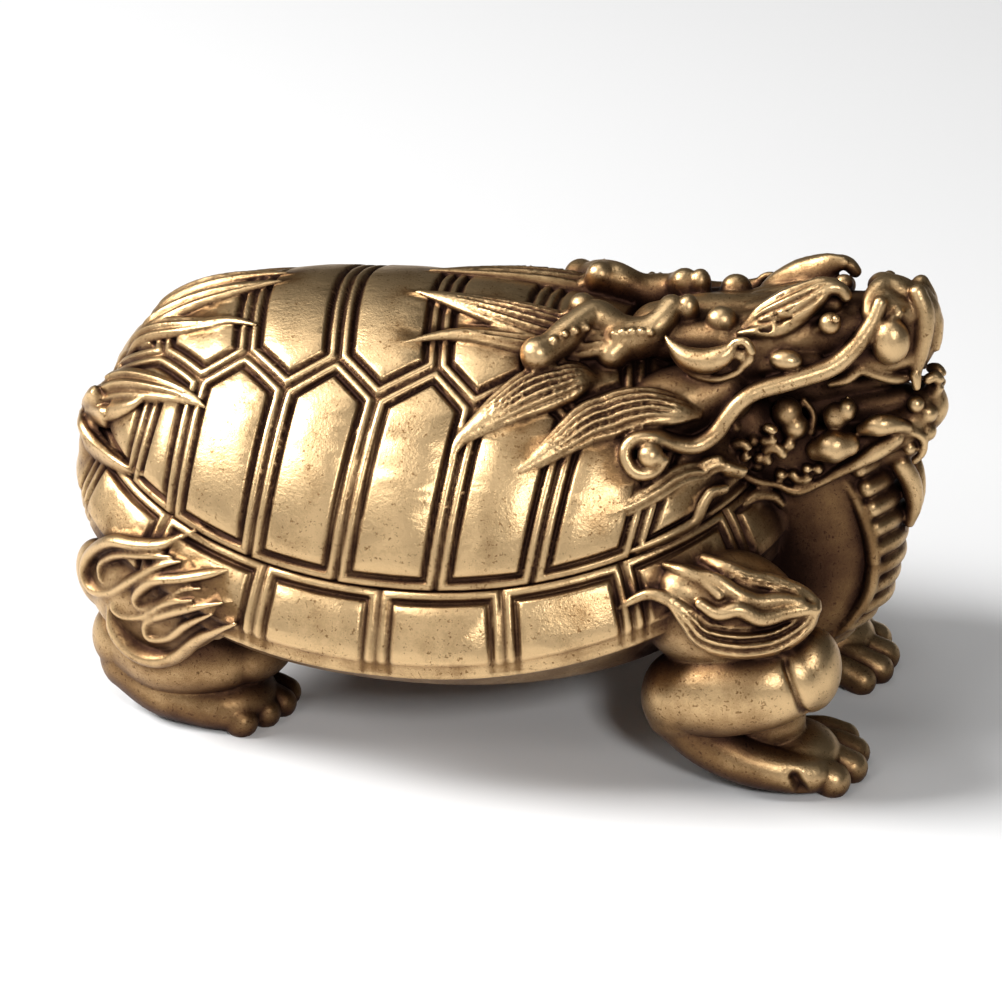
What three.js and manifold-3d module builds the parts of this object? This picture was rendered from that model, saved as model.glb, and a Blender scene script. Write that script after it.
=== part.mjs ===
// A dragon turtle, cast in brass in one piece: a turtle's shell and crouching legs, with a horned
// dragon's head thrown back over the front of the shell, and flames of hair at shoulder, hip and tail.
// Millimetres. +X is forward, to the snout, +Y is the figure's left and +Z is up. The origin is on the
// table, under the middle of the figure.
import * as THREE from 'three';
import { mergeVertices } from 'three/addons/utils/BufferGeometryUtils.js';
import Module from 'manifold-3d';

// Driving sizes
const FIGURE_LENGTH = 51; // snout to tail
const SHELL_LENGTH = 38.4; // dome inside its rim groove
const SHELL_WIDTH = 26.4; // dome inside its rim groove
const SHELL_CREST = 25; // top of the dome above the table
const RIM_FLARE = 2.1; // how far the rim stands out from the groove
const RIM_HEIGHT = 8; // lower edge of the rim above the table, at mid length
const GROOVE_HEIGHT = 12.3; // rim groove above the table, at mid length
const BELLY_HEIGHT = 5.1; // belly above the table
const PLATE_PITCH = 5.55; // from one plate of the shell to the next
const PLATE_GAP = 1.9; // furrow between two plates
const PLATE_RELIEF = 0.45; // how far a plate stands proud
const SOLE_SINK = 0.35; // how much of each foot is cut away flat at the table

// The pose and the carving are laid out on a grid of this many units to the figure's length
const GRID_UNITS = 51;
const SQUARENESS = 0.85; // exponent of neck and head sections: 1 is an ellipse, less is squarer
const unit = FIGURE_LENGTH / GRID_UNITS;

// How finely the round forms are faceted
const SHELL_SIDES = 36;
const LIMB_SIDES = 7;
const LOCK_SIDES = 4;
const SKIN_TOLERANCE = 0.065;

const at = (x, y, z) => new THREE.Vector3(x, y, z).multiplyScalar(unit);
const power = (value, exponent) => Math.sign(value) * Math.abs(value) ** exponent;
const mix = THREE.MathUtils.lerp;

const wasm = await Module();
wasm.setup();

// Closed solids out of triangles

function solidOf(geometry) {
  const bare = geometry.index ? geometry.toNonIndexed() : geometry.clone();
  bare.deleteAttribute('normal');
  bare.deleteAttribute('uv');
  const merged = mergeVertices(bare, 1e-5);
  const vertProperties = new Float32Array(merged.attributes.position.array);
  let triVerts = new Uint32Array(merged.index.array);
  if (signedVolume(vertProperties, triVerts) < 0) {
    triVerts = triVerts.map((_, i) => triVerts[i - (i % 3) + [0, 2, 1][i % 3]]);
  }
  return new wasm.Manifold(new wasm.Mesh({ numProp: 3, vertProperties, triVerts }));
}

function signedVolume(positions, triangles) {
  const corner = (i) => new THREE.Vector3().fromArray(positions, 3 * triangles[i]);
  let sum = 0;
  for (let i = 0; i < triangles.length; i += 3) {
    sum += corner(i).dot(corner(i + 1).cross(corner(i + 2)));
  }
  return sum / 6;
}

// A skin over rings of points, closed at each end by a fan round a pole
function loft(rings, poles = []) {
  const triangles = [];
  const sides = rings[0].length;
  const middle = (ring) => {
    const sum = new THREE.Vector3();
    ring.forEach((point) => sum.add(point));
    return sum.divideScalar(sides);
  };
  const first = poles[0] ?? middle(rings[0]);
  const last = poles[1] ?? middle(rings.at(-1));
  for (let i = 0; i < sides; i += 1) {
    const next = (i + 1) % sides;
    triangles.push(first, rings[0][next], rings[0][i]);
    triangles.push(last, rings.at(-1)[i], rings.at(-1)[next]);
    for (let j = 0; j + 1 < rings.length; j += 1) {
      triangles.push(rings[j][i], rings[j][next], rings[j + 1][next]);
      triangles.push(rings[j][i], rings[j + 1][next], rings[j + 1][i]);
    }
  }
  return solidOf(new THREE.BufferGeometry().setFromPoints(triangles));
}

// An ellipsoid, faceted like a gem
function lobe(centre, halfX, halfY, halfZ) {
  const detail = 1;
  const geometry = new THREE.IcosahedronGeometry(1, detail);
  geometry.scale(halfX * unit, halfY * unit, halfZ * unit);
  geometry.translate(centre.x, centre.y, centre.z);
  return solidOf(geometry);
}

// A round-ended limb along a smooth path. Each stop is a place with a radius, and the section may be
// flattened: flat is its half height over its half width, and up is the way its height points. Ridge
// raises its crown and bed sinks its underside, as shares of that half height.
function limb(stops, { sides = LIMB_SIDES, flat = 1, up, ridge = 0, bed = 0 } = {}) {
  const curve = new THREE.CatmullRomCurve3(stops.map(([place]) => place), false, 'centripetal');
  const last = stops.length - 1;
  const capWidth = 0.75; // the ring between an end and its pole, as shares of the radius there
  const capReach = 0.66;
  const frameAt = (share) => {
    const place = curve.getPoint(share);
    const along = curve.getTangent(share);
    const stop = Math.min(last - 1, Math.floor(share * last));
    const within = share * last - stop;
    const radius = mix(stops[stop][1], stops[stop + 1][1], within) * unit;
    const lift = typeof up === 'function' ? up(place) : (up ?? new THREE.Vector3(0, 0, 1));
    const wide = new THREE.Vector3().crossVectors(lift, along).normalize();
    const high = new THREE.Vector3().crossVectors(along, wide).normalize();
    return { place, along, radius, wide, high };
  };
  const ringAt = (share, scale, push) => {
    const { place, along, radius, wide, high } = frameAt(share);
    place.addScaledVector(along, push * radius);
    return Array.from({ length: sides }, (_, i) => {
      const angle = i / sides * 2 * Math.PI;
      const rise = Math.sin(angle);
      const deep = 1 + (rise > 0 ? ridge * rise ** 3 : -bed * rise);
      return place.clone()
        .addScaledVector(wide, Math.cos(angle) * radius * scale)
        .addScaledVector(high, rise * radius * scale * flat * deep);
    });
  };
  const poleAt = (share, push) => {
    const { place, along, radius } = frameAt(share);
    return place.addScaledVector(along, push * radius);
  };
  const rings = [
    ringAt(0, capWidth, -capReach),
    ...stops.map((_, i) => ringAt(i / last, 1, 0)),
    ringAt(1, capWidth, capReach),
  ];
  return loft(rings, [poleAt(0, -1), poleAt(1, 1)]);
}

// The shell. Its plan is a rounded oval, and its rim sweeps up towards both ends.
const shell = {
  middle: -4.3 * unit,
  halfLength: SHELL_LENGTH / 2,
  halfWidth: SHELL_WIDTH / 2,
  planRoundness: 2.3, // exponent of the oval: 2 is an ellipse
  arch: 1.7, // exponent of the cross section: below 2 it is pitched like a roof
  grooveSweep: 4.2 * unit, // rise of the groove at the ends
  rimSweep: 5 * unit, // rise of the rim at the ends
};

// Where a section across the shell stands: half width, groove height and crest height
function sectionAt(x) {
  const share = THREE.MathUtils.clamp((x - shell.middle) / shell.halfLength, -0.995, 0.995);
  const swell = (1 - Math.abs(share) ** shell.planRoundness) ** (1 / shell.planRoundness);
  const endHeight = GROOVE_HEIGHT + shell.grooveSweep;
  return {
    half: shell.halfWidth * swell,
    groove: GROOVE_HEIGHT + shell.grooveSweep * share ** 2,
    crest: endHeight + (SHELL_CREST - endHeight) * swell,
  };
}

// A place on the dome: across runs from -1 at the right-hand groove to 1 at the left-hand one
function domePlace(x, across) {
  const { half, groove, crest } = sectionAt(x);
  const angle = THREE.MathUtils.clamp(across, -1, 1) * Math.PI / 2;
  return new THREE.Vector3(
    x,
    half * power(Math.sin(angle), 2 / shell.arch),
    groove + (crest - groove) * power(Math.cos(angle), 2 / shell.arch),
  );
}

function domeNormal(x, across) {
  const stepX = 0.2;
  const stepAcross = 0.02;
  const alongX = domePlace(x + stepX, across).sub(domePlace(x - stepX, across));
  const over = domePlace(x, across + stepAcross).sub(domePlace(x, across - stepAcross));
  return new THREE.Vector3().crossVectors(alongX, over).normalize();
}

const onDome = (x, across, lift) => domePlace(x, across).addScaledVector(domeNormal(x, across), lift);

function acrossAt(x, y) {
  const share = Math.min(0.999, Math.abs(y) / sectionAt(x).half);
  return Math.sign(y) * Math.asin(share ** (shell.arch / 2)) * 2 / Math.PI;
}

// A place on the dome by its grid numbers, with a lift off the surface
const onShell = (x, y, lift) => onDome(x * unit, acrossAt(x * unit, y * unit), lift * unit);
const shellUp = (place) => domeNormal(place.x, acrossAt(place.x, place.y));

// A place on the band between the groove, at 0, and the edge of the rim, at 1
function bandPlace(angle, out) {
  const reach = RIM_FLARE * out;
  const cos = power(Math.cos(angle), 2 / shell.planRoundness);
  const sin = power(Math.sin(angle), 2 / shell.planRoundness);
  const groove = GROOVE_HEIGHT + shell.grooveSweep * cos ** 2;
  const rim = RIM_HEIGHT + shell.rimSweep * cos ** 2;
  return new THREE.Vector3(
    shell.middle + (shell.halfLength + reach) * cos,
    (shell.halfWidth + reach) * sin,
    mix(groove, rim, out ** 1.3),
  );
}

function bandNormal(angle) {
  const along = bandPlace(angle + 0.01, 0.5).sub(bandPlace(angle - 0.01, 0.5));
  const down = bandPlace(angle, 0.7).sub(bandPlace(angle, 0.3));
  return new THREE.Vector3().crossVectors(down, along).normalize();
}

// Where a place on the shell is drawn on a flat chart, for its furrows to be divided into triangles.
// The dome fills the chart's unit circle and the band lies round it.
function chartOfDome([x, across]) {
  const { y } = domePlace(x, across);
  const alongShare = power((x - shell.middle) / shell.halfLength, shell.planRoundness / 2);
  const sideShare = power(y / shell.halfWidth, shell.planRoundness / 2);
  const share = Math.min(1, Math.hypot(alongShare, sideShare)) ** (2 / shell.planRoundness);
  const radius = Math.asin(share ** (shell.arch / 2)) * 2 / Math.PI;
  const angle = Math.atan2(sideShare, alongShare);
  return new THREE.Vector2(radius * Math.cos(angle), radius * Math.sin(angle));
}

const chartOfBand = ([angle, out]) => new THREE.Vector2(Math.cos(angle), Math.sin(angle))
  .multiplyScalar(1 + 0.4 * out);

// Points added along an outline's sides, so that a plate follows the shell's curve
function finer(corners, pieces) {
  return corners.flatMap(([a, b], i) => {
    const [nextA, nextB] = corners[(i + 1) % corners.length];
    return Array.from({ length: pieces[i] }, (_, j) => [
      mix(a, nextA, j / pieces[i]), mix(b, nextB, j / pieces[i])]);
  });
}

// Outlines of the dome's plates, as places along and shares across: a row of hexagons over the crest,
// and a row of tall plates with pointed tops on each side, half a plate behind them
function domeOutlines() {
  const outlines = [];
  const gap = PLATE_GAP / 2;
  const gapAcross = gap / (shell.halfWidth * 1.25); // the same furrow as a share across
  const firstSeam = -3.1 * unit; // a seam between two plates of the crest row
  const lean = 1.3 * unit; // how far the side seams lean forward as they rise
  const tip = 0.42; // the zigzag between crest row and side rows, as shares across
  const shoulder = 0.32;
  const sideFoot = 0.955;
  const leastPlate = PLATE_PITCH * 0.3;
  const rearEnd = shell.middle - shell.halfLength * 0.9;
  const frontEnd = shell.middle + shell.halfLength * 0.84;
  const reach = Math.ceil(SHELL_LENGTH / PLATE_PITCH);
  for (let i = -reach; i <= reach; i += 1) {
    const seam = firstSeam + i * PLATE_PITCH;
    const rear = Math.max(seam + gap, rearEnd);
    const front = Math.min(seam + PLATE_PITCH - gap, frontEnd);
    if (front - rear > leastPlate) {
      const mid = (rear + front) / 2;
      const corners = [[rear, -shoulder], [mid, -tip], [front, -shoulder],
        [front, shoulder], [mid, tip], [rear, shoulder]];
      outlines.push(finer(corners, [1, 1, 2, 1, 1, 2]));
    }
    const sideRear = Math.max(seam + PLATE_PITCH / 2 + gap, rearEnd + lean);
    const sideFront = Math.min(seam + PLATE_PITCH * 1.5 - gap, frontEnd);
    if (sideFront - sideRear > leastPlate) {
      const mid = (sideRear + sideFront) / 2;
      for (const side of [-1, 1]) {
        const top = side * (tip + gapAcross * 1.6);
        const peak = side * (shoulder + gapAcross * 1.6);
        const corners = [[sideRear - lean, side * sideFoot], [sideRear, top], [mid, peak],
          [sideFront, top], [sideFront - lean, side * sideFoot]];
        outlines.push(finer(corners, [2, 1, 1, 2, 2]));
      }
    }
  }
  return outlines;
}

// Outlines of the band's plates, as angles and shares out, evenly spaced round the groove
function bandOutlines() {
  const samples = 720;
  const lengths = [0];
  for (let i = 0; i < samples; i += 1) {
    const from = bandPlace(i / samples * 2 * Math.PI, 0);
    lengths.push(lengths[i] + from.distanceTo(bandPlace((i + 1) / samples * 2 * Math.PI, 0)));
  }
  const angleAt = (length) => {
    const i = Math.min(samples - 1, lengths.findIndex((value) => value > length) - 1);
    return (i + (length - lengths[i]) / (lengths[i + 1] - lengths[i])) / samples * 2 * Math.PI;
  };
  const perPitch = 1.22; // length of a band plate over that of a dome plate
  const plateTop = 0.14; // where a plate begins and ends between groove and rim
  const plateFoot = 0.93;
  const count = 2 * Math.round(lengths.at(-1) / PLATE_PITCH / perPitch / 2);
  const pitch = lengths.at(-1) / count;
  return Array.from({ length: count }, (_, i) => {
    const rear = angleAt(i * pitch + PLATE_GAP / 2);
    const front = angleAt((i + 1) * pitch - PLATE_GAP / 2);
    const corners = [[rear, plateTop], [front, plateTop], [front, plateFoot], [rear, plateFoot]];
    return finer(corners, [2, 1, 2, 1]);
  });
}

// The whole shell with its belly: plates stand proud of a floor that is divided round them
function shellSkin() {
  const angles = Array.from({ length: SHELL_SIDES }, (_, i) => (i + 0.5) / SHELL_SIDES * 2 * Math.PI);
  const edge = angles.map((angle) => [angle, 1]);
  const inBand = (angle, out, lift) => bandPlace(angle, out).addScaledVector(bandNormal(angle), lift);
  const plates = [
    ...domeOutlines().map((outline) => ({ outline, place: onDome, chart: chartOfDome })),
    ...bandOutlines().map((outline) => ({ outline, place: inBand, chart: chartOfBand })),
  ];
  const floor = edge.map(([angle, out]) => inBand(angle, out, 0));
  const triangles = [];
  for (const { outline, place } of plates) {
    const low = outline.map(([a, b]) => place(a, b, 0));
    const high = outline.map(([a, b]) => place(a, b, PLATE_RELIEF));
    const middle = [0, 1].map((k) => outline.reduce((sum, pair) => sum + pair[k], 0) / outline.length);
    const crown = place(...middle, PLATE_RELIEF);
    floor.push(...low);
    const turn = turnOf(low) * turnOf(floor.slice(0, SHELL_SIDES));
    for (let i = 0; i < outline.length; i += 1) {
      const next = (i + 1) % outline.length;
      const wall = [low[i], low[next], high[next], low[i], high[next], high[i]];
      const faces = [...wall, high[i], high[next], crown];
      triangles.push(...(turn > 0 ? faces : faces.reverse()));
    }
  }
  const contour = edge.map(chartOfBand);
  const holes = plates.map(({ outline, chart }) => outline.map(chart));
  for (const [a, b, c] of THREE.ShapeUtils.triangulateShape(contour, holes)) {
    triangles.push(floor[a], floor[b], floor[c]);
  }
  triangles.push(...bellySkin(angles));
  return solidOf(new THREE.BufferGeometry().setFromPoints(triangles));
}

// Which way round a loop of places runs, seen from above
function turnOf(loop) {
  return Math.sign(loop.reduce((sum, place, i) => {
    const next = loop[(i + 1) % loop.length];
    return sum + place.x * next.y - next.x * place.y;
  }, 0));
}

// Under the rim the shell rounds in to a flat belly
function bellySkin(angles) {
  const ring = (share, height) => angles.map((angle) => {
    const place = bandPlace(angle, 1);
    place.setX(mix(shell.middle, place.x, share));
    place.setY(place.y * share);
    return place.setZ(mix(BELLY_HEIGHT, place.z, height));
  });
  const rings = [ring(1, 1), ring(0.95, 0.85), ring(0.82, 0.3), ring(0.6, 0)];
  const pole = new THREE.Vector3(shell.middle, 0, BELLY_HEIGHT);
  const triangles = [];
  angles.forEach((_, i) => {
    const next = (i + 1) % angles.length;
    for (let j = 0; j + 1 < rings.length; j += 1) {
      triangles.push(rings[j][next], rings[j][i], rings[j + 1][i]);
      triangles.push(rings[j][next], rings[j + 1][i], rings[j + 1][next]);
    }
    triangles.push(rings.at(-1)[next], rings.at(-1)[i], pole);
  });
  return triangles;
}

// Limbs and locks given by their stops on one side: along, out, height or null, and radius.
// A stop without a height lies on the shell.
function stopsOf(side, numbers, lift = 0) {
  return numbers.map(([x, y, z, radius]) => [
    z === null ? onShell(x, side * y, lift) : at(x, side * y, z), radius]);
}

const lockShape = { sides: LOCK_SIDES, flat: 0.6, up: shellUp, ridge: 0.4, bed: 1.6 };

// The tail comes out under the rear of the rim, turns up and parts into tufts that lie on the shell
function tail() {
  const root = stopsOf(1, [[-17, 0, 9.5, 2.4], [-21.6, 0, 10.8, 2.5], [-23.2, 0, 14, 2.1],
    [-22.4, 0, 17, 1.6], [-19.6, 0, null, 1.1]]);
  const tufts = [
    [[-22, 1.2, null, 0.8], [-19.6, 2, null, 1.2], [-16.4, 1.7, null, 1.1], [-12.8, 0.5, null, 0.3]],
    [[-22.2, 2.4, null, 0.8], [-19.8, 4.3, null, 1.3], [-16.6, 5, null, 1], [-13, 4.9, null, 0.25]],
    [[-22.6, 2.7, null, 0.8], [-21, 5.4, null, 1.2], [-18.4, 7.6, null, 0.9], [-15.6, 8.9, null, 0.25]],
    [[-22.9, 2.2, null, 0.8], [-22.2, 4.8, null, 1.1], [-20.6, 7.4, null, 0.9], [-17.8, 9.9, null, 0.25]],
  ];
  const tuftLift = 0.2;
  return [
    limb(root, { sides: 9 }),
    ...[-1, 1].flatMap((side) => tufts.map((tuft) => limb(stopsOf(side, tuft, tuftLift), lockShape))),
  ];
}

// Neck and chest, as level sections from the table side up: height, back, front and half width
function neck() {
  const sides = 14;
  const levels = [[5.6, 12, 18.8, 3], [6.6, 10, 21, 3.6], [8.8, 9, 22.4, 3.8], [11.9, 8, 23.1, 3.8],
    [14.6, 8, 22.7, 3.8], [17, 9, 22, 3.6], [19.5, 10, 20.4, 3.4]];
  return loft(levels.map(([z, back, front, half]) => Array.from({ length: sides }, (_, i) => {
    const angle = (i + 0.5) / sides * 2 * Math.PI;
    const x = mix(back, front, (1 + power(Math.cos(angle), SQUARENESS)) / 2);
    return at(x, half * power(Math.sin(angle), SQUARENESS), z);
  })));
}

// A foot stands at this height for its radius, so that its sole is cut flat at the table
const footHeight = (radius) => radius - SOLE_SINK / unit;

// Toes side by side in front of a foot: each by its tip along and out
function toes(side, tips, middle) {
  const radius = 1.05;
  const length = 2.2;
  const height = footHeight(radius);
  return tips.map(([x, y]) => limb(stopsOf(side, [
    [x - length, mix(y, middle, 0.3), height, radius * 0.9], [x, y, height, radius]]), { sides: 8 }));
}

// A front leg, from the shoulder to four toes, with the flame of hair above it
function frontLeg(side) {
  const shoulder = lobe(at(13.8, side * 8.7, 11), 5, 3.9, 4);
  const upperArm = limb(stopsOf(side, [[11.7, 8.8, 5.5, 2.9], [15, 9.1, 6.6, 3], [17.9, 9, 7.7, 2.7]]));
  const foreArm = limb(stopsOf(side, [[11.8, 8.7, 4.6, 2.2], [14.4, 8.3, 2.7, 2], [17, 7.2, 1.5, 2.1],
    [19, 6.5, 1.1, 2]]), { flat: 0.85 });
  const paw = lobe(at(18.6, side * 6.3, footHeight(1.3)), 2, 3, 1.6);
  const flame = [
    [[9.2, 13.2, 12.8, 0.5], [12.4, 12.4, 11.4, 1.1], [15.8, 11.6, 10.9, 1.4], [18.3, 10.4, 11.8, 1.1],
      [19.7, 9.7, 12.7, 0.4]],
    [[10.8, 11.8, 14.2, 0.6], [14.6, 10.8, 13.1, 1.1], [17.8, 9.7, 13.2, 0.8]],
    [[11.6, 9.8, 15.4, 0.7], [15, 9.2, 14.5, 1], [18.2, 8.6, 13.7, 0.5]],
  ];
  return [
    shoulder, upperArm, foreArm, paw,
    ...flame.map((tongue) => limb(stopsOf(side, tongue), { bed: 0.8 })),
    ...toes(side, [[20.5, 8.6], [21.3, 6.8], [21.2, 5], [20.4, 3.4]], 6),
  ];
}

// A hind leg, with the scrolls of hair on the hip
function hindLeg(side) {
  const hip = lobe(at(-17.6, side * 8.2, 8), 5.6, 3.6, 4.6);
  const thigh = lobe(at(-18.8, side * 7.7, 4.4), 4.9, 3.3, 3.3);
  const heel = limb(stopsOf(side, [[-21, 8, 2.6, 2], [-18, 8.7, 1.5, 1.9], [-15.6, 8.3, 1.2, 1.8]]),
    { flat: 0.9 });
  const paw = lobe(at(-15.4, side * 7.8, footHeight(1.3)), 2.2, 2.8, 1.6);
  const scrolls = [
    [[-13.6, 11.4, 14.2, 0.3], [-16.4, 10.7, 12, 0.8], [-19.6, 9.6, 10.9, 1.1], [-22.4, 7.8, 10.3, 1.2]],
    [[-14.2, 13, 11, 0.5], [-17.2, 11.8, 9.9, 1], [-20.4, 10.1, 8.6, 1.1], [-22.6, 8.2, 8.2, 1]],
    [[-14, 13.4, 9.6, 0.5], [-16.8, 12.2, 8, 1], [-19.4, 10.6, 6.9, 1.1], [-21.4, 8.8, 6.6, 0.9]],
  ];
  return [
    hip, thigh, heel, paw,
    ...scrolls.map((scroll) => limb(stopsOf(side, scroll))),
    ...toes(side, [[-13.9, 9.6], [-12.9, 8.2], [-12.3, 6.8], [-12.4, 5.4]], 7.6),
  ];
}

// Sections across the head: place along, height, half width, half height
function headSections(sections, sides) {
  return loft(sections.map(([x, z, half, high]) => Array.from({ length: sides }, (_, i) => {
    const angle = (i + 0.5) / sides * 2 * Math.PI;
    const rise = high * power(Math.sin(angle), SQUARENESS);
    return at(x, half * power(Math.cos(angle), SQUARENESS), z + rise);
  })));
}

// The skull, the two jaws and what lies on the middle line
function headMass() {
  const sideways = new THREE.Vector3(0, 1, 0);
  const skull = headSections([[8.6, 22.7, 1.6, 1], [9.6, 22.8, 2.8, 1.9], [11.6, 23.2, 3.9, 2.5],
    [14.2, 23.7, 4.2, 2.8], [16.4, 24.5, 3.9, 2.5], [18.4, 25, 3.2, 2], [20.4, 25.3, 2.7, 1.9],
    [22.4, 25.3, 2.4, 2], [23.6, 25, 1.6, 1.6]], 13);
  const lowerJaw = headSections([[10, 20.2, 2.6, 2], [12, 20.2, 3.7, 3], [14.4, 19.4, 3.8, 2.8],
    [17, 18.1, 3.3, 1.6], [20, 18.4, 2.8, 1.2], [22.6, 19, 2.2, 1], [23.8, 19.4, 1.4, 0.7]], 12);
  const tongue = limb(stopsOf(1, [[14, 0, 21, 2.2], [17.6, 0, 21.6, 2.1], [20.4, 0, 21.8, 1.7],
    [21.8, 0, 21.4, 1.1]]));
  const noseFront = limb(stopsOf(1, [[22.9, 0, 27, 1], [23.7, 0, 26, 1], [23.6, 0, 24.4, 1],
    [23.1, 0, 23.2, 0.8]]), { up: sideways, flat: 1.3 });
  const lipCurl = limb(stopsOf(1, [[23.8, 0, 19.4, 0.9], [24.7, 0, 20.6, 0.8], [24.5, 0, 21.8, 0.6]]),
    { up: sideways, flat: 1.5 });
  const goatee = limb(stopsOf(1, [[21.8, 0, 18.2, 1.1], [22.5, 0, 16.2, 1], [23, 0, 13.8, 0.6]]));
  return [skull, lowerJaw, tongue, noseFront, lipCurl, goatee];
}

// The face on one side
function face(side) {
  const form = (numbers, options) => limb(stopsOf(side, numbers), { sides: 6, ...options });
  const brow = form([[13.4, 3.6, 25.5, 0.5], [15.3, 3.2, 26.4, 0.9], [17.2, 2.7, 27.1, 0.9],
    [18.9, 2.2, 27.6, 0.5]]);
  const crown = form([[14.2, 1.4, 26, 0.8], [16.8, 1.3, 26.8, 0.8], [18.4, 1.4, 26.8, 0.7]]);
  const eye = lobe(at(18.4, side * 2.8, 25.9), 1, 1, 0.9);
  const nostril = form([[20.2, 2.2, 26.2, 0.8], [20.9, 1.3, 27.1, 0.9], [22, 0.5, 28.1, 0.8],
    [22.9, 0.5, 27.3, 0.8]]);
  const nostrilBulb = lobe(at(22.1, side * 2, 25), 1, 1, 1.3);
  const upperLip = form([[18.6, 3, 22.4, 0.6], [20.4, 2.7, 23.7, 0.8], [21.9, 2.3, 23.4, 0.8],
    [23.1, 1.4, 23.2, 0.7]]);
  const fang = form([[23.1, 1.4, 23.2, 0.5], [23.2, 1.5, 22, 0.3]], { up: new THREE.Vector3(0, 1, 0) });
  const backTooth = lobe(at(16.9, side * 2.9, 20.5), 1, 0.9, 1.2);
  const frontTooth = lobe(at(19.5, side * 2.2, 21.2), 0.8, 0.8, 1.4);
  const lowerLip = form([[15.8, 3.5, 18.9, 0.6], [19.1, 2.9, 18.9, 0.8], [21.6, 2.4, 19.9, 0.8],
    [23.4, 1.5, 19.7, 0.7]]);
  const chinBead = lobe(at(22.9, side * 1.5, 18.5), 0.8, 0.7, 0.8);
  const cheek = lobe(at(16.2, side * 3.7, 23.7), 1, 0.8, 0.8);
  const templeBead = lobe(at(12.8, side * 2, 25.8), 0.8, 0.8, 0.8);
  const ear = form([[9.7, 4.5, 25, 0.4], [10.9, 4.9, 24.2, 1], [12.5, 5, 23.9, 1],
    [13.8, 4.7, 24.5, 0.8]]);
  const beard = form([[14.2, 4, 18, 0.8], [15.8, 3.9, 16.8, 0.7], [17.6, 3.4, 16.4, 0.5]]);
  return [
    brow, crown, eye, nostril, nostrilBulb, upperLip, fang, backTooth, frontTooth, lowerLip, chinBead,
    cheek, templeBead, ear, beard, ...horn(side), ...whisker(side),
  ];
}

// A branched horn, laid back over the shell
function horn(side) {
  const branches = [
    [[12, 2.6, 24.6, 0.9], [8.6, 3.8, 25, 1.1], [5.9, 4.9, 24.6, 1.1], [3.9, 5.6, 24.1, 1.1]],
    [[8.4, 3.4, 24.9, 0.9], [5.8, 2.8, 25.5, 0.7]],
    [[8.8, 4.4, 25.2, 0.9], [8.5, 5.6, 24.1, 0.9]],
  ];
  return branches.map((branch) => limb(stopsOf(side, branch), { bed: 0.5 }));
}

// The long whisker runs from the nostril along the cheek and back to a curl with a bead
function whisker(side) {
  const stops = [[21.2, 2.6, 26.6, 0.5], [19.6, 3.7, 24.9, 0.55], [17, 4.7, 23.5, 0.65],
    [14.2, 5.4, 22.6, 0.6], [13.2, 5.9, 20.9, 0.55], [11.6, 6.5, 19.9, 0.55], [9.6, 7.1, 20.2, 0.5],
    [8.4, 7.7, 19.4, 0.4]];
  return [
    limb(stopsOf(side, stops), { sides: 5, up: new THREE.Vector3(0, side, 0), bed: 1 }),
    lobe(at(9.5, side * 7.7, 19.2), 0.85, 0.8, 0.8),
  ];
}

// Locks of the mane, from the nape and the jaw back on to the shell
function mane(side) {
  const locks = [
    [[9.6, 2.2, 24.2, 1.3], [4.4, 3.4, null, 1.4], [-0.6, 2.7, null, 1.3], [-6.2, 1.2, null, 0.3]],
    [[8, 4.6, 23.2, 1.3], [3, 5.9, null, 1.1], [-0.8, 6.1, null, 0.9], [-4.8, 5.5, null, 0.25]],
    [[9.4, 5, 22.6, 1.3], [6, 6.2, null, 1.4], [1.4, 8.6, null, 1.2], [-1.4, 10.4, null, 0.25]],
    [[12.6, 4.6, 21.6, 1.6], [8.6, 7.2, 20.7, 1.5], [5, 9.3, null, 1.2], [1.6, 11.1, null, 0.3]],
    [[14, 5, 19, 1.6], [11, 7.6, 17.6, 1.5], [7.8, 10.1, null, 1.1], [4.9, 11.8, null, 0.3]],
    [[15.6, 4, 17, 1.4], [13.6, 6.4, 16.4, 1.4], [11.6, 8.4, 15.6, 1], [10, 10, null, 0.3]],
  ];
  const maneLift = 0.25;
  return locks.map((lock) => limb(stopsOf(side, lock, maneLift), lockShape));
}

// The table side of each foot is cut flat
function tableCut() {
  const depth = FIGURE_LENGTH / 2;
  const geometry = new THREE.BoxGeometry(2 * FIGURE_LENGTH, 2 * FIGURE_LENGTH, depth);
  geometry.translate(0, 0, -depth / 2);
  return solidOf(geometry);
}

function figure() {
  const forms = [shellSkin(), ...tail(), neck(), ...headMass()];
  for (const side of [-1, 1]) {
    forms.push(...frontLeg(side), ...hindLeg(side), ...face(side), ...mane(side));
  }
  const joined = forms.reduce((whole, form) => whole.add(form)).subtract(tableCut());
  // A casting has no sealed bubbles: only its outer skin is kept
  const [outer] = joined.decompose().sort((a, b) => b.volume() - a.volume());
  return outer;
}

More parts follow.
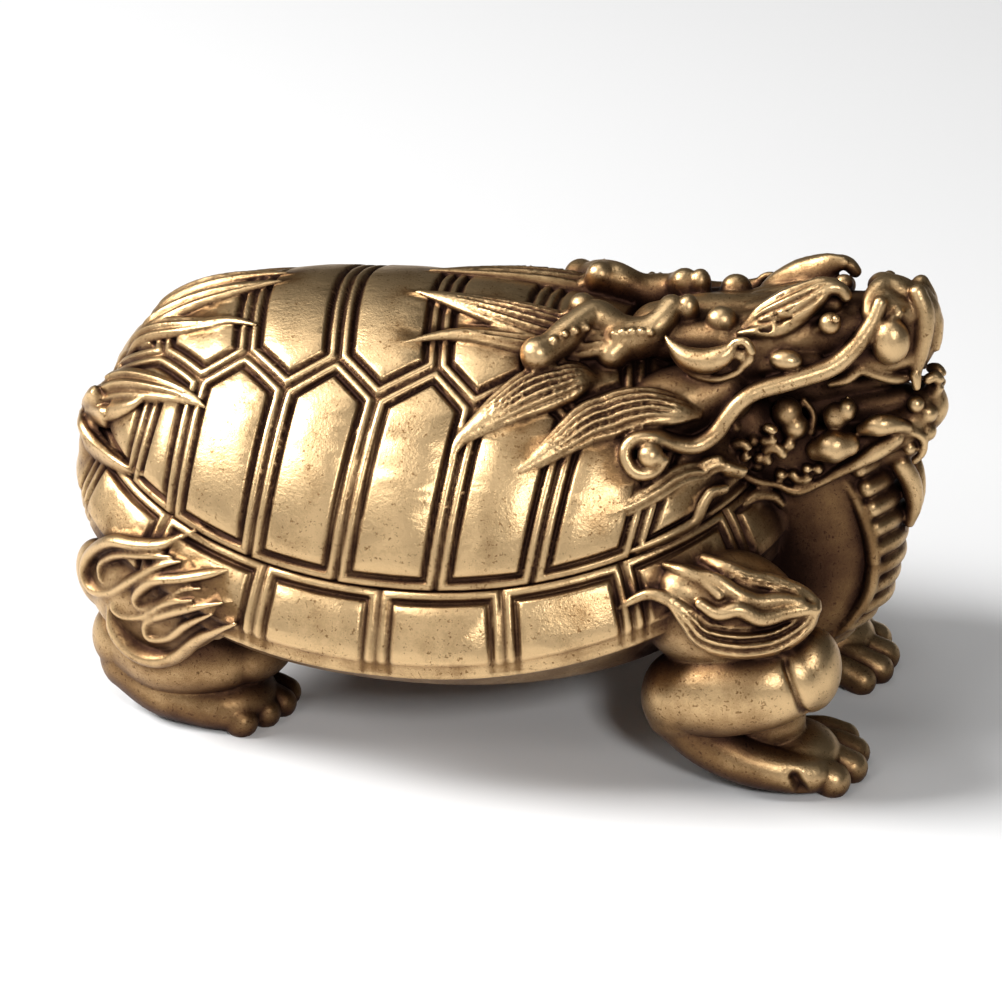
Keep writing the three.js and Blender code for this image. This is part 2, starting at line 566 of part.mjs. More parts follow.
// Joining leaves slivers. A corner is moved on to its neighbour where that shifts the skin by less than
// the tolerance, keeps it closed, turns no triangle over and leaves the soles flat.
function withoutSlivers(solid, tolerance) {
  const { vertProperties, triVerts } = solid.getMesh();
  const places = Array.from({ length: vertProperties.length / 3 }, (_, i) => (
    new THREE.Vector3().fromArray(vertProperties, 3 * i)));
  let triangles = Array.from({ length: triVerts.length / 3 }, (_, i) => (
    [...triVerts.slice(3 * i, 3 * i + 3)]));
  const normalOf = (corners) => {
    const [a, b, c] = corners.map((corner) => places[corner]);
    return new THREE.Vector3().crossVectors(b.clone().sub(a), c.clone().sub(a));
  };
  const leastArea = tolerance ** 2 / 4;
  const onTable = (corner) => Math.abs(places[corner].z) < tolerance / 100;
  const passes = 12;
  for (let pass = 0; pass < passes; pass += 1) {
    const around = places.map(() => []);
    triangles.forEach((corners) => corners.forEach((corner) => around[corner].push(corners)));
    const ringOf = (corner) => new Set(around[corner].flat().filter((other) => other !== corner));
    const settled = new Set();
    const edges = triangles.flatMap(([a, b, c]) => [[a, b], [b, c], [c, a]])
      .map(([from, to]) => ({ from, to, length: places[from].distanceTo(places[to]) }))
      .sort((one, other) => one.length - other.length);
    const mayMove = (from, to) => {
      const ring = ringOf(to);
      const shared = [...ringOf(from)].filter((corner) => ring.has(corner));
      if (shared.length !== 2 || onTable(from) !== onTable(to)) {
        return false;
      }
      return around[from].every((corners) => {
        const before = normalOf(corners);
        const flat = before.length() < leastArea;
        const shift = flat ? places[from].distanceTo(places[to])
          : Math.abs(before.clone().normalize().dot(places[to].clone().sub(places[from])));
        if (shift > tolerance) {
          return false;
        }
        if (corners.includes(to)) {
          return true;
        }
        const after = normalOf(corners.map((corner) => (corner === from ? to : corner)));
        return after.length() > leastArea && (flat || after.normalize().dot(before.normalize()) > 0.5);
      });
    };
    let moves = 0;
    for (const { from, to } of edges) {
      if (!settled.has(from) && !settled.has(to) && mayMove(from, to)) {
        for (const corner of [...ringOf(from), from]) {
          settled.add(corner);
        }
        for (const corners of around[from]) {
          corners[corners.indexOf(from)] = to;
        }
        moves += 1;
      }
    }
    triangles = triangles.filter(([a, b, c]) => a !== b && b !== c && c !== a);
    if (moves === 0) {
      break;
    }
  }
  const geometry = new THREE.BufferGeometry();
  geometry.setFromPoints(triangles.flat().map((corner) => places[corner]));
  geometry.computeVertexNormals();
  return geometry;
}

const brass = new THREE.MeshStandardMaterial({ color: 0x9a7440, roughness: 0.34, metalness: 1 });

const dragonTurtle = new THREE.Mesh(withoutSlivers(figure(), SKIN_TOLERANCE), brass);
dragonTurtle.name = 'dragon_turtle';

const group = new THREE.Group();
group.add(dragonTurtle);

export default group;
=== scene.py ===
import math

import bpy
import numpy as np
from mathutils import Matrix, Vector
from mathutils.bvhtree import BVHTree
from mathutils.kdtree import KDTree


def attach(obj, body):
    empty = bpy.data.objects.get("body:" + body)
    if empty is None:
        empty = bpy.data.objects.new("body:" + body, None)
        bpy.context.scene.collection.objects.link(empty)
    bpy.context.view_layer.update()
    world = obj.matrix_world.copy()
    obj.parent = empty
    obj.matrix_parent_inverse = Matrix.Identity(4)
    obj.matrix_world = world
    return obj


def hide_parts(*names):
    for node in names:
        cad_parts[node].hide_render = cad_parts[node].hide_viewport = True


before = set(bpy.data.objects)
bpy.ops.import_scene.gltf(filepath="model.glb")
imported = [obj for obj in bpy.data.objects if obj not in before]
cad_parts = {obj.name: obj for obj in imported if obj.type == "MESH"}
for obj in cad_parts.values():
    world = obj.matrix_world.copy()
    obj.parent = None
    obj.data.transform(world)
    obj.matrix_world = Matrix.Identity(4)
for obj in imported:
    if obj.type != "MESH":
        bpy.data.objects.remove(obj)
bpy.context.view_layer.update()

toMetres = 0.001  # everything is modelled in millimetres and brought to metres at the end
nearlyOne = 0.99995
print("frame loaded")


# small helpers

def deselectAll():
    if bpy.context.object and bpy.context.object.mode != "OBJECT":
        bpy.ops.object.mode_set(mode="OBJECT")
    bpy.ops.object.select_all(action="DESELECT")


def pick(piece):
    deselectAll()
    piece.select_set(True)
    bpy.context.view_layer.objects.active = piece


def placesOf(piece):
    places = np.empty(len(piece.data.vertices) * 3)
    piece.data.vertices.foreach_get("co", places)
    return places.reshape(-1, 3)


def setPlaces(piece, places):
    piece.data.vertices.foreach_set("co", np.ascontiguousarray(places, float).ravel())
    piece.data.update()


def normalsOf(piece):
    normals = np.empty(len(piece.data.vertices) * 3)
    piece.data.vertex_normals.foreach_get("vector", normals)
    return normals.reshape(-1, 3)


def setNumbers(piece, name, numbers):
    kept = piece.data.attributes.new(name, "FLOAT", "POINT")
    kept.data.foreach_set("value", np.asarray(numbers, np.float32))


def numbersOf(piece, name):
    numbers = np.empty(len(piece.data.vertices), np.float32)
    piece.data.attributes[name].data.foreach_get("value", numbers)
    return numbers


def applied(piece, kind, **settings):
    pick(piece)
    modifier = piece.modifiers.new(kind.title(), kind)
    for name, value in settings.items():
        setattr(modifier, name, value)
    bpy.ops.object.modifier_apply(modifier=modifier.name)


def joined(pieces, name):
    deselectAll()
    for piece in pieces:
        piece.select_set(True)
    bpy.context.view_layer.objects.active = pieces[0]
    bpy.ops.object.join()
    whole = bpy.context.object
    whole.name = name
    return whole


# a sheet to be rolled over a closed form: how far down it each corner is, from 0 to 1, and its angle round
def rolled(sides, rings):
    deselectAll()
    bpy.ops.mesh.primitive_grid_add(x_subdivisions=sides, y_subdivisions=rings, size=2)
    piece = bpy.context.object
    start = placesOf(piece)
    angle = np.where(start[:, 0] > nearlyOne, -1, start[:, 0]) * math.pi
    return piece, (1 - start[:, 1]) / 2, angle


def merged(piece, gap=1e-4):
    pick(piece)
    bpy.ops.object.mode_set(mode="EDIT")
    bpy.ops.mesh.select_all(action="SELECT")
    bpy.ops.mesh.remove_doubles(threshold=gap)
    bpy.ops.object.mode_set(mode="OBJECT")


def power(value, exponent):
    return np.sign(value) * np.abs(value) ** exponent


def unitOf(rows):
    return rows / (np.linalg.norm(rows, axis=-1, keepdims=True) + 1e-12)


def easeBetween(low, high, value):
    share = np.clip((value - low) / (high - low), 0, 1)
    return share * share * (3 - 2 * share)


# 1 at a distance of 0, falling softly to 0 at a distance of 1
def fadeOut(away):
    return (1 - np.clip(away, 0, 1) ** 2) ** 2


# the rows at these places among them, where 2.5 is halfway from the third row to the fourth
def rowsAt(rows, at):
    low = np.clip(at.astype(int), 0, len(rows) - 2)
    part = (at - low).reshape(-1, *[1] * (rows.ndim - 1))
    return rows[low] * (1 - part) + rows[low + 1] * part


# the shell: a dome over a sloping band, both cut by double lines into plates

shell = {
    "middle": -4.3, "halfLength": 19.2, "halfWidth": 13.2, "crest": 25.0,
    "planRoundness": 2.3,  # 2 is an ellipse, more is squarer
    "arch": 1.7,  # below 2 the cross section is pitched like a roof
    "grooveHeight": 12.3, "grooveSweep": 4.2,  # the line between dome and band, and its rise at the ends
    "rimHeight": 8.0, "rimSweep": 5.0, "rimFlare": 2.1,
    "flareAt": [0, 0.72, 0.88, 1], "flare": [0, 0.72, 0.82, 0.84],  # the flare on the way down the band
    "bandBow": 1.3,  # above 1 the band falls slowly at first
    "bellyHeight": 5.1,
    "underAt": [0, 0.06, 0.14, 0.26, 0.55, 0.8, 1],  # from the rim to the middle of the belly
    "underWidth": [1, 1.004, 0.995, 0.95, 0.82, 0.55, 0],
    "underFall": [1, 0.94, 0.89, 0.8, 0.3, 0.02, 0],
    "plateRelief": 0.45,
    "pillow": 0.03,  # how much a plate swells in its middle
    "lip": (1.84, 1.93), "lipThinning": 0.75,  # the plates thin out towards the lip of the rim
    "underLip": (1.96, 2.2),  # and end under it
    "seamsEnd": 2.3,  # no seam is felt further round than this
    "farFromSeams": 9.0,
    "segments": 860, "domeRings": 168, "bandRings": 52, "bellyRings": 34,
    "fineness": 1.0,
    "slopeStep": 0.15,
}

plates = {
    "crestSeams": [-19.3, -13.9, -8.45, -2.75, 2.8, 8.2],  # where these seams start, at the crest's shoulders
    "crestBow": 0.8,  # how far those seams bow back over the crest
    "lowTips": [-16.4, -11.15, -5.8, -0.3, 5.2, 10.4],  # where the side seams start, at the zigzag's low tips
    "feet": [-17.0, -12.1, -7.0, -1.35, 3.9, 9.0],  # where the side seams end, above the band
    "shoulder": 0.362, "tip": 0.463,  # zigzag between crest row and side rows, as shares across
    "rearSeam": [(-19.2, 0.58), (-20.0, 1.0)],  # one more side seam, under the tail
    "rearEnd": (-22.3, 0.37), "frontEnd": (12.2, 0.4),  # where the zigzag ends
    "bandPlates": 16,
}

# two flat-topped lines with a groove between them and a groove on either side
seamCut = {
    "away": [0, 0.08, 0.18, 0.24, 0.46, 0.54, 0.64, 0.76, 0.93, 1.04],  # from the seam's middle
    "heights": [-0.28, -0.26, -0.08, -0.04, -0.04, -0.10, -0.34, -0.36, -0.07, 0],
    "swellFrom": 1.04, "swellTo": 3.0,
    "spacing": 0.04,  # between the points along a seam
    "across": 20,  # about how long a share of 1 across the dome is
    "crestStops": 9, "ringPoints": 7200, "bandPoints": 160,
    "pastRim": 1.02,  # the band's seams run on a little past the rim
}


def shellSection(x):
    share = np.clip((x - shell["middle"]) / shell["halfLength"], -nearlyOne, nearlyOne)
    swell = (1 - np.abs(share) ** shell["planRoundness"]) ** (1 / shell["planRoundness"])
    end = shell["grooveHeight"] + shell["grooveSweep"]
    groove = shell["grooveHeight"] + shell["grooveSweep"] * share ** 2
    return shell["halfWidth"] * swell, groove, end + (shell["crest"] - end) * swell


def domeHeight(x, y):
    half, groove, crest = shellSection(x)
    share = np.clip(np.abs(y) / half, 0, nearlyOne)
    return groove + (crest - groove) * (1 - share ** shell["arch"]) ** (1 / shell["arch"])


def domePlace(x, across):
    half, groove, crest = shellSection(x)
    angle = np.clip(across, -1, 1) * math.pi / 2
    y = half * power(np.sin(angle), 2 / shell["arch"])
    return np.stack([x, y, groove + (crest - groove) * np.abs(np.cos(angle)) ** (2 / shell["arch"])], -1)


def domeNormal(x, y):
    step = shell["slopeStep"]
    slopeX = (domeHeight(x + step, y) - domeHeight(x - step, y)) / (2 * step)
    slopeY = (domeHeight(x, y + step) - domeHeight(x, y - step)) / (2 * step)
    return unitOf(np.stack([-slopeX, -slopeY, np.ones_like(slopeX)], -1))


def bandPlace(angle, out):
    reach = shell["rimFlare"] * np.interp(out, shell["flareAt"], shell["flare"])
    cos = power(np.cos(angle), 2 / shell["planRoundness"])
    sin = power(np.sin(angle), 2 / shell["planRoundness"])
    groove = shell["grooveHeight"] + shell["grooveSweep"] * cos ** 2
    rim = shell["rimHeight"] + shell["rimSweep"] * cos ** 2
    x = shell["middle"] + (shell["halfLength"] + reach) * cos
    y = (shell["halfWidth"] + reach) * sin
    return np.stack([x, y, groove + (rim - groove) * out ** shell["bandBow"]], -1)


# reach runs 0 to 1 over the dome, to 2 over the band and to 3 round under the belly
def shellPlace(angle, reach):
    dome = np.sin(np.clip(reach, 0, 1) * math.pi / 2) ** (2 / shell["arch"])
    x = shell["middle"] + shell["halfLength"] * dome * power(np.cos(angle), 2 / shell["planRoundness"])
    y = shell["halfWidth"] * dome * power(np.sin(angle), 2 / shell["planRoundness"])
    onDome = np.stack([x, y, domeHeight(x, y)], -1)
    onBand = bandPlace(angle, np.clip(reach - 1, 0, 1))
    under = np.clip(reach - 2, 0, 1)
    width = np.interp(under, shell["underAt"], shell["underWidth"])
    fall = np.interp(under, shell["underAt"], shell["underFall"])
    rim = bandPlace(angle, np.ones_like(angle))
    below = np.stack([shell["middle"] + (rim[:, 0] - shell["middle"]) * width, rim[:, 1] * width,
                      shell["bellyHeight"] + (rim[:, 2] - shell["bellyHeight"]) * fall], -1)
    place = np.where((reach <= 1)[:, None], onDome, onBand)
    return np.where((reach > 2)[:, None], below, place)


# dense points along every seam
def seamPoints():
    lines = []
    zigzag = sorted([(x, plates["shoulder"]) for x in plates["crestSeams"]]
                    + [(x, plates["tip"]) for x in plates["lowTips"]])
    zigzag = [plates["rearEnd"], *zigzag, plates["frontEnd"]]
    for side in (-1, 1):
        lines.append([(x, side * across) for x, across in zigzag])
        lines.append([(x, side * across) for x, across in plates["rearSeam"]])
        for top, foot in zip(plates["lowTips"], plates["feet"]):
            lines.append([(top, side * plates["tip"]), (foot, side)])
    shares = np.linspace(-1, 1, seamCut["crestStops"])
    for x in plates["crestSeams"]:
        lines.append([(x - plates["crestBow"] * math.cos(share * math.pi / 2), share * plates["shoulder"])
                      for share in shares])
    points = []
    for line in lines:
        for (x1, a1), (x2, a2) in zip(line, line[1:]):
            count = int(max(abs(x2 - x1), abs(a2 - a1) * seamCut["across"]) / seamCut["spacing"]) + 2
            points.append(domePlace(np.linspace(x1, x2, count), np.linspace(a1, a2, count)))
    turn = np.linspace(0, 2 * math.pi, seamCut["ringPoints"], endpoint=False)
    ring = bandPlace(turn, np.zeros_like(turn))
    points.append(ring)
    lengths = np.concatenate([[0], np.cumsum(np.linalg.norm(np.diff(ring, axis=0), axis=1))])
    total = lengths[-1] + np.linalg.norm(ring[0] - ring[-1])
    angles = np.interp(np.arange(plates["bandPlates"]) * total / plates["bandPlates"], lengths, turn)
    out = np.linspace(0, seamCut["pastRim"], seamCut["bandPoints"])
    for angle in angles:
        points.append(bandPlace(np.full_like(out, angle), out))
    return np.vstack(points)


def seamHeight(distance):
    swell = shell["pillow"] * easeBetween(seamCut["swellFrom"], seamCut["swellTo"], distance)
    return np.interp(distance, seamCut["away"], seamCut["heights"]) + swell


def makeShell():
    segments = int(shell["segments"] * shell["fineness"])
    rings = [int(shell[name] * shell["fineness"]) for name in ("domeRings", "bandRings", "bellyRings")]
    piece, turn, angle = rolled(segments, sum(rings))
    piece.name = "shell"
    reach = np.interp(turn * sum(rings), [0, rings[0], rings[0] + rings[1], sum(rings)], [0, 1, 2, 3])
    setPlaces(piece, shellPlace(angle, reach))
    setNumbers(piece, "reach", reach)
    merged(piece)
    base, normals, reach = placesOf(piece), normalsOf(piece), numbersOf(piece, "reach")
    seams = seamPoints()
    tree = KDTree(len(seams))
    for i, point in enumerate(seams):
        tree.insert(point, i)
    tree.balance()
    distance = np.array([tree.find(place)[2] if near < shell["seamsEnd"] else shell["farFromSeams"]
                         for place, near in zip(base, reach)])
    lift = shell["plateRelief"] + seamHeight(distance)
    thinning = shell["lipThinning"]
    atLip, under = easeBetween(*shell["lip"], reach), easeBetween(*shell["underLip"], reach)
    lift *= 1 - atLip * thinning - under * (1 - thinning)
    setPlaces(piece, base + normals * lift[:, None])
    return piece


# clay: round forms laid along smooth paths, to be pressed together into one skin

clayMesh = {
    "step": 0.13,  # between the corners of a form
    "sides": (14, 90), "rings": (10, 260),  # fewest and most
    "strandSides": (40, 110), "strandGirth": 9,  # a form with strands has more, counted by its radius
    "evenRings": 0.6, "bunchedRings": 0.4,  # shares, where the bunched ones crowd towards both ends
    "thinnest": 0.03,
    "pathStep": 0.15, "pathBits": 30, "fewestPlaces": 6,
    "ballStep": 0.15, "ballSides": (16, 120),
    "sectionSides": 110, "sectionStep": 0.1,
    "sectionCap": 0.04,  # how much of the sheet rounds off each end
}


def smoothPath(stops, step=clayMesh["pathStep"]):
    rows = np.array(stops, float)
    rows = np.vstack([2 * rows[0] - rows[1], rows, 2 * rows[-1] - rows[-2]])
    share = np.linspace(0, 1, clayMesh["pathBits"], endpoint=False)[:, None]
    bits = []
    for before, here, there, after in zip(rows, rows[1:], rows[2:], rows[3:]):
        bits.append(0.5 * (2 * here + (there - before) * share
                           + (2 * before - 5 * here + 4 * there - after) * share ** 2
                           + (3 * here - before - 3 * there + after) * share ** 3))
    bits.append(rows[-2:-1])
    fine = np.vstack(bits)
    lengths = np.concatenate([[0], np.cumsum(np.linalg.norm(np.diff(fine[:, :3], axis=0), axis=1))])
    count = max(clayMesh["fewestPlaces"], int(lengths[-1] / step))
    at = np.linspace(0, lengths[-1], count)
    return np.stack([np.interp(at, lengths, fine[:, k]) for k in range(fine.shape[1])], -1), lengths[-1]


# stops are (along, out, height or None on the shell, radius), on the right-hand side, where y is negative
def clay(stops, flat=1.0, up=(0, 0, 1), ridge=0.0, bed=0.0, strands=0, furrow=0.35, lift=0.2):
    rows = []
    for x, out, z, radius in stops:
        onShell = z is None
        y = -out
        height = float(domeHeight(np.float64(x), np.float64(y))) + lift if onShell else z
        rows.append((x, y, height, radius, 1.0 if onShell else 0.0))
    path, length = smoothPath(rows)
    places = path[:, :3].copy()
    radius = np.maximum(path[:, 3], clayMesh["thinnest"])
    held = easeBetween(0.5, 1.0, path[:, 4])  # 1 where the path keeps to the shell
    places[:, 2] += (domeHeight(places[:, 0], places[:, 1]) + lift - places[:, 2]) * held
    along = unitOf(np.gradient(places, axis=0))
    if isinstance(up, str):
        outward = domeNormal(places[:, 0], places[:, 1])
    else:
        outward = np.tile(np.array(up, float), (len(places), 1))
    wide = unitOf(np.cross(outward, along))
    high = unitOf(np.cross(along, wide))

    widest, step = radius.max(), clayMesh["step"]
    if strands:
        sides = np.clip(clayMesh["strandGirth"] * widest / step, *clayMesh["strandSides"])
    else:
        sides = np.clip(2 * math.pi * widest / step, *clayMesh["sides"])
    rings = np.clip((length + 2 * widest) / step, *clayMesh["rings"])
    piece, turn, angle = rolled(int(sides), int(rings))

    first, last = radius[0], radius[-1]
    down = clayMesh["evenRings"] * turn + clayMesh["bunchedRings"] * (1 - np.cos(math.pi * turn)) / 2
    reach = (length + first + last) * down - first
    inside = np.clip(reach, 0, length)
    cap = np.where(reach < 0, -reach / first, np.where(reach > length, (reach - length) / last, 0))
    at = inside / length * (len(places) - 1)
    girth = rowsAt(radius, at) * np.sqrt(np.clip(1 - cap ** 2, 0, 1))
    across, rise = np.cos(angle), -np.sin(angle)
    height = rise * flat * (1 + np.where(rise > 0, ridge * np.abs(rise) ** 3, bed * np.abs(rise)))
    if strands:
        cut = 1 - furrow * np.cos(strands * math.pi * (across + 1) / 2) ** 2
        height = np.where(rise > 0, height * cut, height)
    place = rowsAt(places, at) + unitOf(rowsAt(along, at)) * (reach - inside)[:, None]
    place += rowsAt(wide, at) * (across * girth)[:, None]
    place += rowsAt(high, at) * (height * girth)[:, None]
    setPlaces(piece, place)
    return piece


def ball(x, out, z, halfX, halfY=None, halfZ=None):
    halfY, halfZ = halfY or halfX, halfZ or halfX
    sides = 2 * math.pi * max(halfX, halfY, halfZ) / clayMesh["ballStep"]
    sides = int(np.clip(sides, *clayMesh["ballSides"]))
    piece, turn, angle = rolled(sides, sides // 2)
    girth = np.sin(math.pi * turn)
    setPlaces(piece, np.stack([x + halfX * girth * np.cos(angle), -out - halfY * girth * np.sin(angle),
                               z - halfZ * np.cos(math.pi * turn)], -1))
    return piece


# sections stand across the head, as (along, height, half width, half height), or lie level in the neck, as
# (height, back, front, half width)
def sectionClay(sections, squareness=0.85, level=False):
    piece, turn, angle = rolled(clayMesh["sectionSides"], clayMesh["sectionSides"])
    rows, _ = smoothPath(sections, clayMesh["sectionStep"])
    cap = clayMesh["sectionCap"]
    a, b, c, d = rowsAt(rows, np.clip((turn - cap) / (1 - 2 * cap), 0, 1) * (len(rows) - 1)).T
    shrink = np.sqrt(np.clip(1 - np.clip((cap - np.minimum(turn, 1 - turn)) / cap, 0, 1) ** 2, 0, 1))
    cos, sin = power(np.cos(angle), squareness), power(np.sin(angle), squareness)
    if level:
        place = np.stack([(b + c) / 2 + (c - b) / 2 * cos * shrink, -d * sin * shrink, a], -1)
    else:
        place = np.stack([a, c * cos * shrink, b + d * sin * shrink], -1)
    setPlaces(piece, place)
    return piece


# tail: it turns up under the rear of the rim and parts into tufts that lie on the shell

tail = {
    "roots": [
        [(-17, 0, 9.5, 2.4), (-21.6, 0, 10.8, 2.5), (-23.1, 0, 14, 2.1), (-22.4, 0, 17, 1.6),
         (-20.6, 0, 19.2, 0.8)],
        [(-20.6, 5.2, 12.2, 2.0), (-22.7, 4.2, 14.2, 2.1), (-22.9, 2.8, 16.6, 1.7), (-21.6, 1.6, 18.9, 1.2)],
    ],
    "tufts": [
        [(-22.0, 1.4, 20.0, 0.6), (-20.8, 1.4, None, 0.95), (-18.9, 1.3, None, 1.0), (-16.9, 1.1, None, 0.8),
         (-15.2, 0.9, None, 0.5), (-13.4, 0.6, None, 0.12)],
        [(-22.8, 1.6, 18.9, 0.7), (-21.2, 2.1, None, 0.85), (-19.0, 3.1, None, 0.78),
         (-17.2, 3.6, None, 0.52), (-15.7, 3.7, None, 0.34), (-13.9, 4.3, None, 0.12)],
        [(-24.2, 3.2, 17.2, 0.8), (-23.4, 4.2, 18.2, 1.0), (-21.8, 5.0, 19.2, 1.15), (-19.6, 6.4, None, 0.95),
         (-17.9, 7.3, None, 0.66), (-16.7, 7.9, None, 0.4), (-15.8, 8.4, None, 0.12)],
        [(-24.5, 3.4, 16.6, 0.6), (-23.9, 4.9, 16.5, 0.78), (-23.0, 5.8, 15.9, 0.75),
         (-21.4, 7.6, 15.9, 0.55), (-20.1, 8.6, 15.8, 0.36), (-18.8, 9.7, 16.0, 0.12)],
    ],
    "strands": 3,
    "wisps": [
        [(-23.9, 4.1, 17.2, 0.6), (-22.3, 5.8, 17.9, 0.65), (-20.9, 6.8, 18.8, 0.42),
         (-19.8, 7.0, 19.6, 0.15)],
    ],
}

# a lock of hair on the shell: flat, ridged, and deep enough underneath to sink in
lockShape = {"flat": 0.5, "up": "shell", "ridge": 0.25, "bed": 2.0, "lift": 0.5, "furrow": 0.45}


def makeTail():
    forms = [clay(root) for root in tail["roots"]]
    for tuft in tail["tufts"]:
        forms.append(clay(tuft, strands=tail["strands"], **lockShape))
    for wisp in tail["wisps"]:
        forms.append(clay(wisp, **lockShape))
    return forms


# neck: plain sides, and a front of level scutes between two raised edges

neck = {
    "levels": [(5.6, 12, 18.6, 3), (6.6, 10, 20.6, 3.5), (8.8, 9, 21.9, 3.6), (11.9, 8, 22.5, 3.6),
               (14.6, 8, 22.1, 3.6), (17, 9, 21.4, 3.4), (19.5, 10, 20.0, 3.2)],
    "edge": [(18.9, 2.4, 17.2, 0.3), (20.1, 2.45, 15.9, 0.35), (20.9, 2.5, 14.4, 0.4),
             (21.4, 2.55, 12.9, 0.42), (21.6, 2.55, 11.3, 0.42), (21.3, 2.5, 9.4, 0.4),
             (20.2, 2.4, 7.4, 0.35), (19.0, 2.2, 6.2, 0.3)],
    "frontHeights": [5.6, 6.6, 8.8, 11.9, 14.6, 17, 18.5],
    "frontPlaces": [18.2, 20.3, 21.9, 22.6, 22.2, 21.5, 20.6],
    "scuteFrom": 6.4, "scuteTo": 17.6, "scutePitch": 1.22, "scuteHalf": 2.2,
    # a scute from one end to the other: share of its half width, forward, up, radius
    "scute": [(-1, -0.75, -0.1, 0.6), (-0.5, -0.1, 0, 0.66), (0, 0.12, 0, 0.66), (0.5, -0.1, 0, 0.66),
              (1, -0.75, -0.1, 0.6)],
    "scuteShape": {"up": (1, 0, 0.25), "flat": 0.9},
}


def makeNeck():
    forms = [sectionClay(neck["levels"], level=True), clay(neck["edge"])]
    for height in np.arange(neck["scuteFrom"], neck["scuteTo"], neck["scutePitch"]):
        front = float(np.interp(height, neck["frontHeights"], neck["frontPlaces"]))
        stops = [(front + forward, neck["scuteHalf"] * share, height + up, radius)
                 for share, forward, up, radius in neck["scute"]]
        forms.append(clay(stops, **neck["scuteShape"]))
    return forms


# front leg, with the flame of hair that sweeps over the shoulder to a point

frontLeg = {
    "masses": [(13.8, 8.3, 10.6, 4.6, 3.4, 3.6), (12.3, 9.0, 5.3, 2.7, 2.6, 2.8),
               (19.1, 8.8, 7.7, 1.75, 2.1, 2.5), (15.6, 7.6, 3.8, 3.2, 2.0, 2.8),
               (17.8, 7.2, 1.5, 3.0, 2.6, 1.8)],
    "limbs": [
        [(12.2, 9.3, 5.7, 2.5), (14.2, 9.7, 6.4, 2.75), (16.6, 9.7, 7.0, 2.6), (18.2, 9.2, 7.5, 2.3)],
        [(12.0, 9.2, 4.6, 2.1), (13.7, 9.6, 2.9, 1.6), (16.0, 9.8, 1.9, 1.35), (18.2, 9.5, 1.4, 1.2),
         (19.4, 9.1, 1.2, 1.1)],
    ],
    "toes": [(20.6, 8.7, 1.05), (21.4, 6.9, 0.98), (21.3, 5.1, 0.95), (20.5, 3.5, 0.92)],
    "toeLength": 2.7, "toeMiddle": 6,
    "flames": [
        [(11.9, 12.0, 12.6, 0.4), (12.8, 12.0, 11.8, 0.7), (13.8, 11.9, 10.9, 0.95), (15.5, 11.5, 10.5, 1.05),
         (17.3, 10.6, 10.5, 1.0), (18.6, 9.8, 11.1, 0.8), (19.3, 9.8, 12.0, 0.4)],
        [(8.8, 12.0, 12.0, 0.2), (10.3, 11.8, 12.9, 0.32), (11.6, 11.8, 12.7, 0.4), (12.8, 11.8, 12.0, 0.42),
         (13.8, 11.7, 11.1, 0.42), (15.2, 11.6, 10.7, 0.3)],
        [(13.0, 9.2, 14.1, 0.35), (14.4, 9.9, 13.9, 0.55), (15.6, 9.8, 13.4, 0.6), (17.0, 9.5, 13.1, 0.6),
         (18.4, 9.3, 12.6, 0.55), (19.3, 9.4, 12.2, 0.35)],
        [(12.5, 10.9, 14.0, 0.3), (14.0, 11.0, 13.8, 0.42), (15.2, 11.1, 13.1, 0.5), (16.3, 10.8, 12.6, 0.5),
         (17.4, 10.3, 12.6, 0.45), (18.5, 9.9, 12.4, 0.4)],
        [(13.3, 12.0, 12.8, 0.3), (14.3, 12.0, 12.3, 0.42), (15.4, 11.7, 12.5, 0.46),
         (16.6, 11.3, 11.9, 0.48), (17.8, 10.5, 12.0, 0.45), (18.9, 10.0, 12.1, 0.4)],
        [(11.0, 10.4, 14.1, 0.2), (12.1, 10.9, 14.1, 0.35), (13.2, 11.1, 13.8, 0.35),
         (14.3, 11.6, 13.2, 0.3)],
    ],
    "strands": 4, "strandsFrom": 0.5,  # only a flame that grows wider than this has strands
    "flameShape": {"bed": 0.8, "up": (0, -0.9, 0.4), "furrow": 0.4},
    "bulk": [(12.2, 10.3, 12.8, 1.6), (14.6, 9.9, 12.0, 2.0), (17.0, 9.2, 11.6, 1.5), (18.5, 9.3, 11.8, 0.8)],
    "bulkFlat": 0.8,
}

# a toe from its root over the knuckle to its tip
toeShape = {
    "gather": 0.35,  # how far the roots draw together
    "sunk": 0.35,  # how far a toe reaches below the table before it is cut flat
    "rootRise": 0.7, "rootRadius": 0.85,
    "knuckleAt": 0.45, "knuckleOut": 0.75, "knuckleRise": 0.45, "knuckleRadius": 0.95,
}


def toeForms(leg):
    forms = []
    for x, out, radius in leg["toes"]:
        back = out + (leg["toeMiddle"] - out) * toeShape["gather"]
        height = radius - toeShape["sunk"]
        root = (x - leg["toeLength"], back, height + toeShape["rootRise"], radius * toeShape["rootRadius"])
        knuckle = (x - leg["toeLength"] * toeShape["knuckleAt"],
                   out * toeShape["knuckleOut"] + back * (1 - toeShape["knuckleOut"]),
                   height + toeShape["knuckleRise"], radius * toeShape["knuckleRadius"])
        forms.append(clay([root, knuckle, (x, out, height, radius)]))
    return forms


def makeFrontLeg():
    forms = [ball(*mass) for mass in frontLeg["masses"]]
    forms += [clay(limb) for limb in frontLeg["limbs"]]
    forms.append(clay(frontLeg["bulk"], flat=frontLeg["bulkFlat"]))
    for flame in frontLeg["flames"]:
        wide = max(stop[3] for stop in flame) > frontLeg["strandsFrom"]
        forms.append(clay(flame, strands=frontLeg["strands"] if wide else 0, **frontLeg["flameShape"]))
    return forms + toeForms(frontLeg)


# hind leg, with hair scrolled on the hip in nested loops

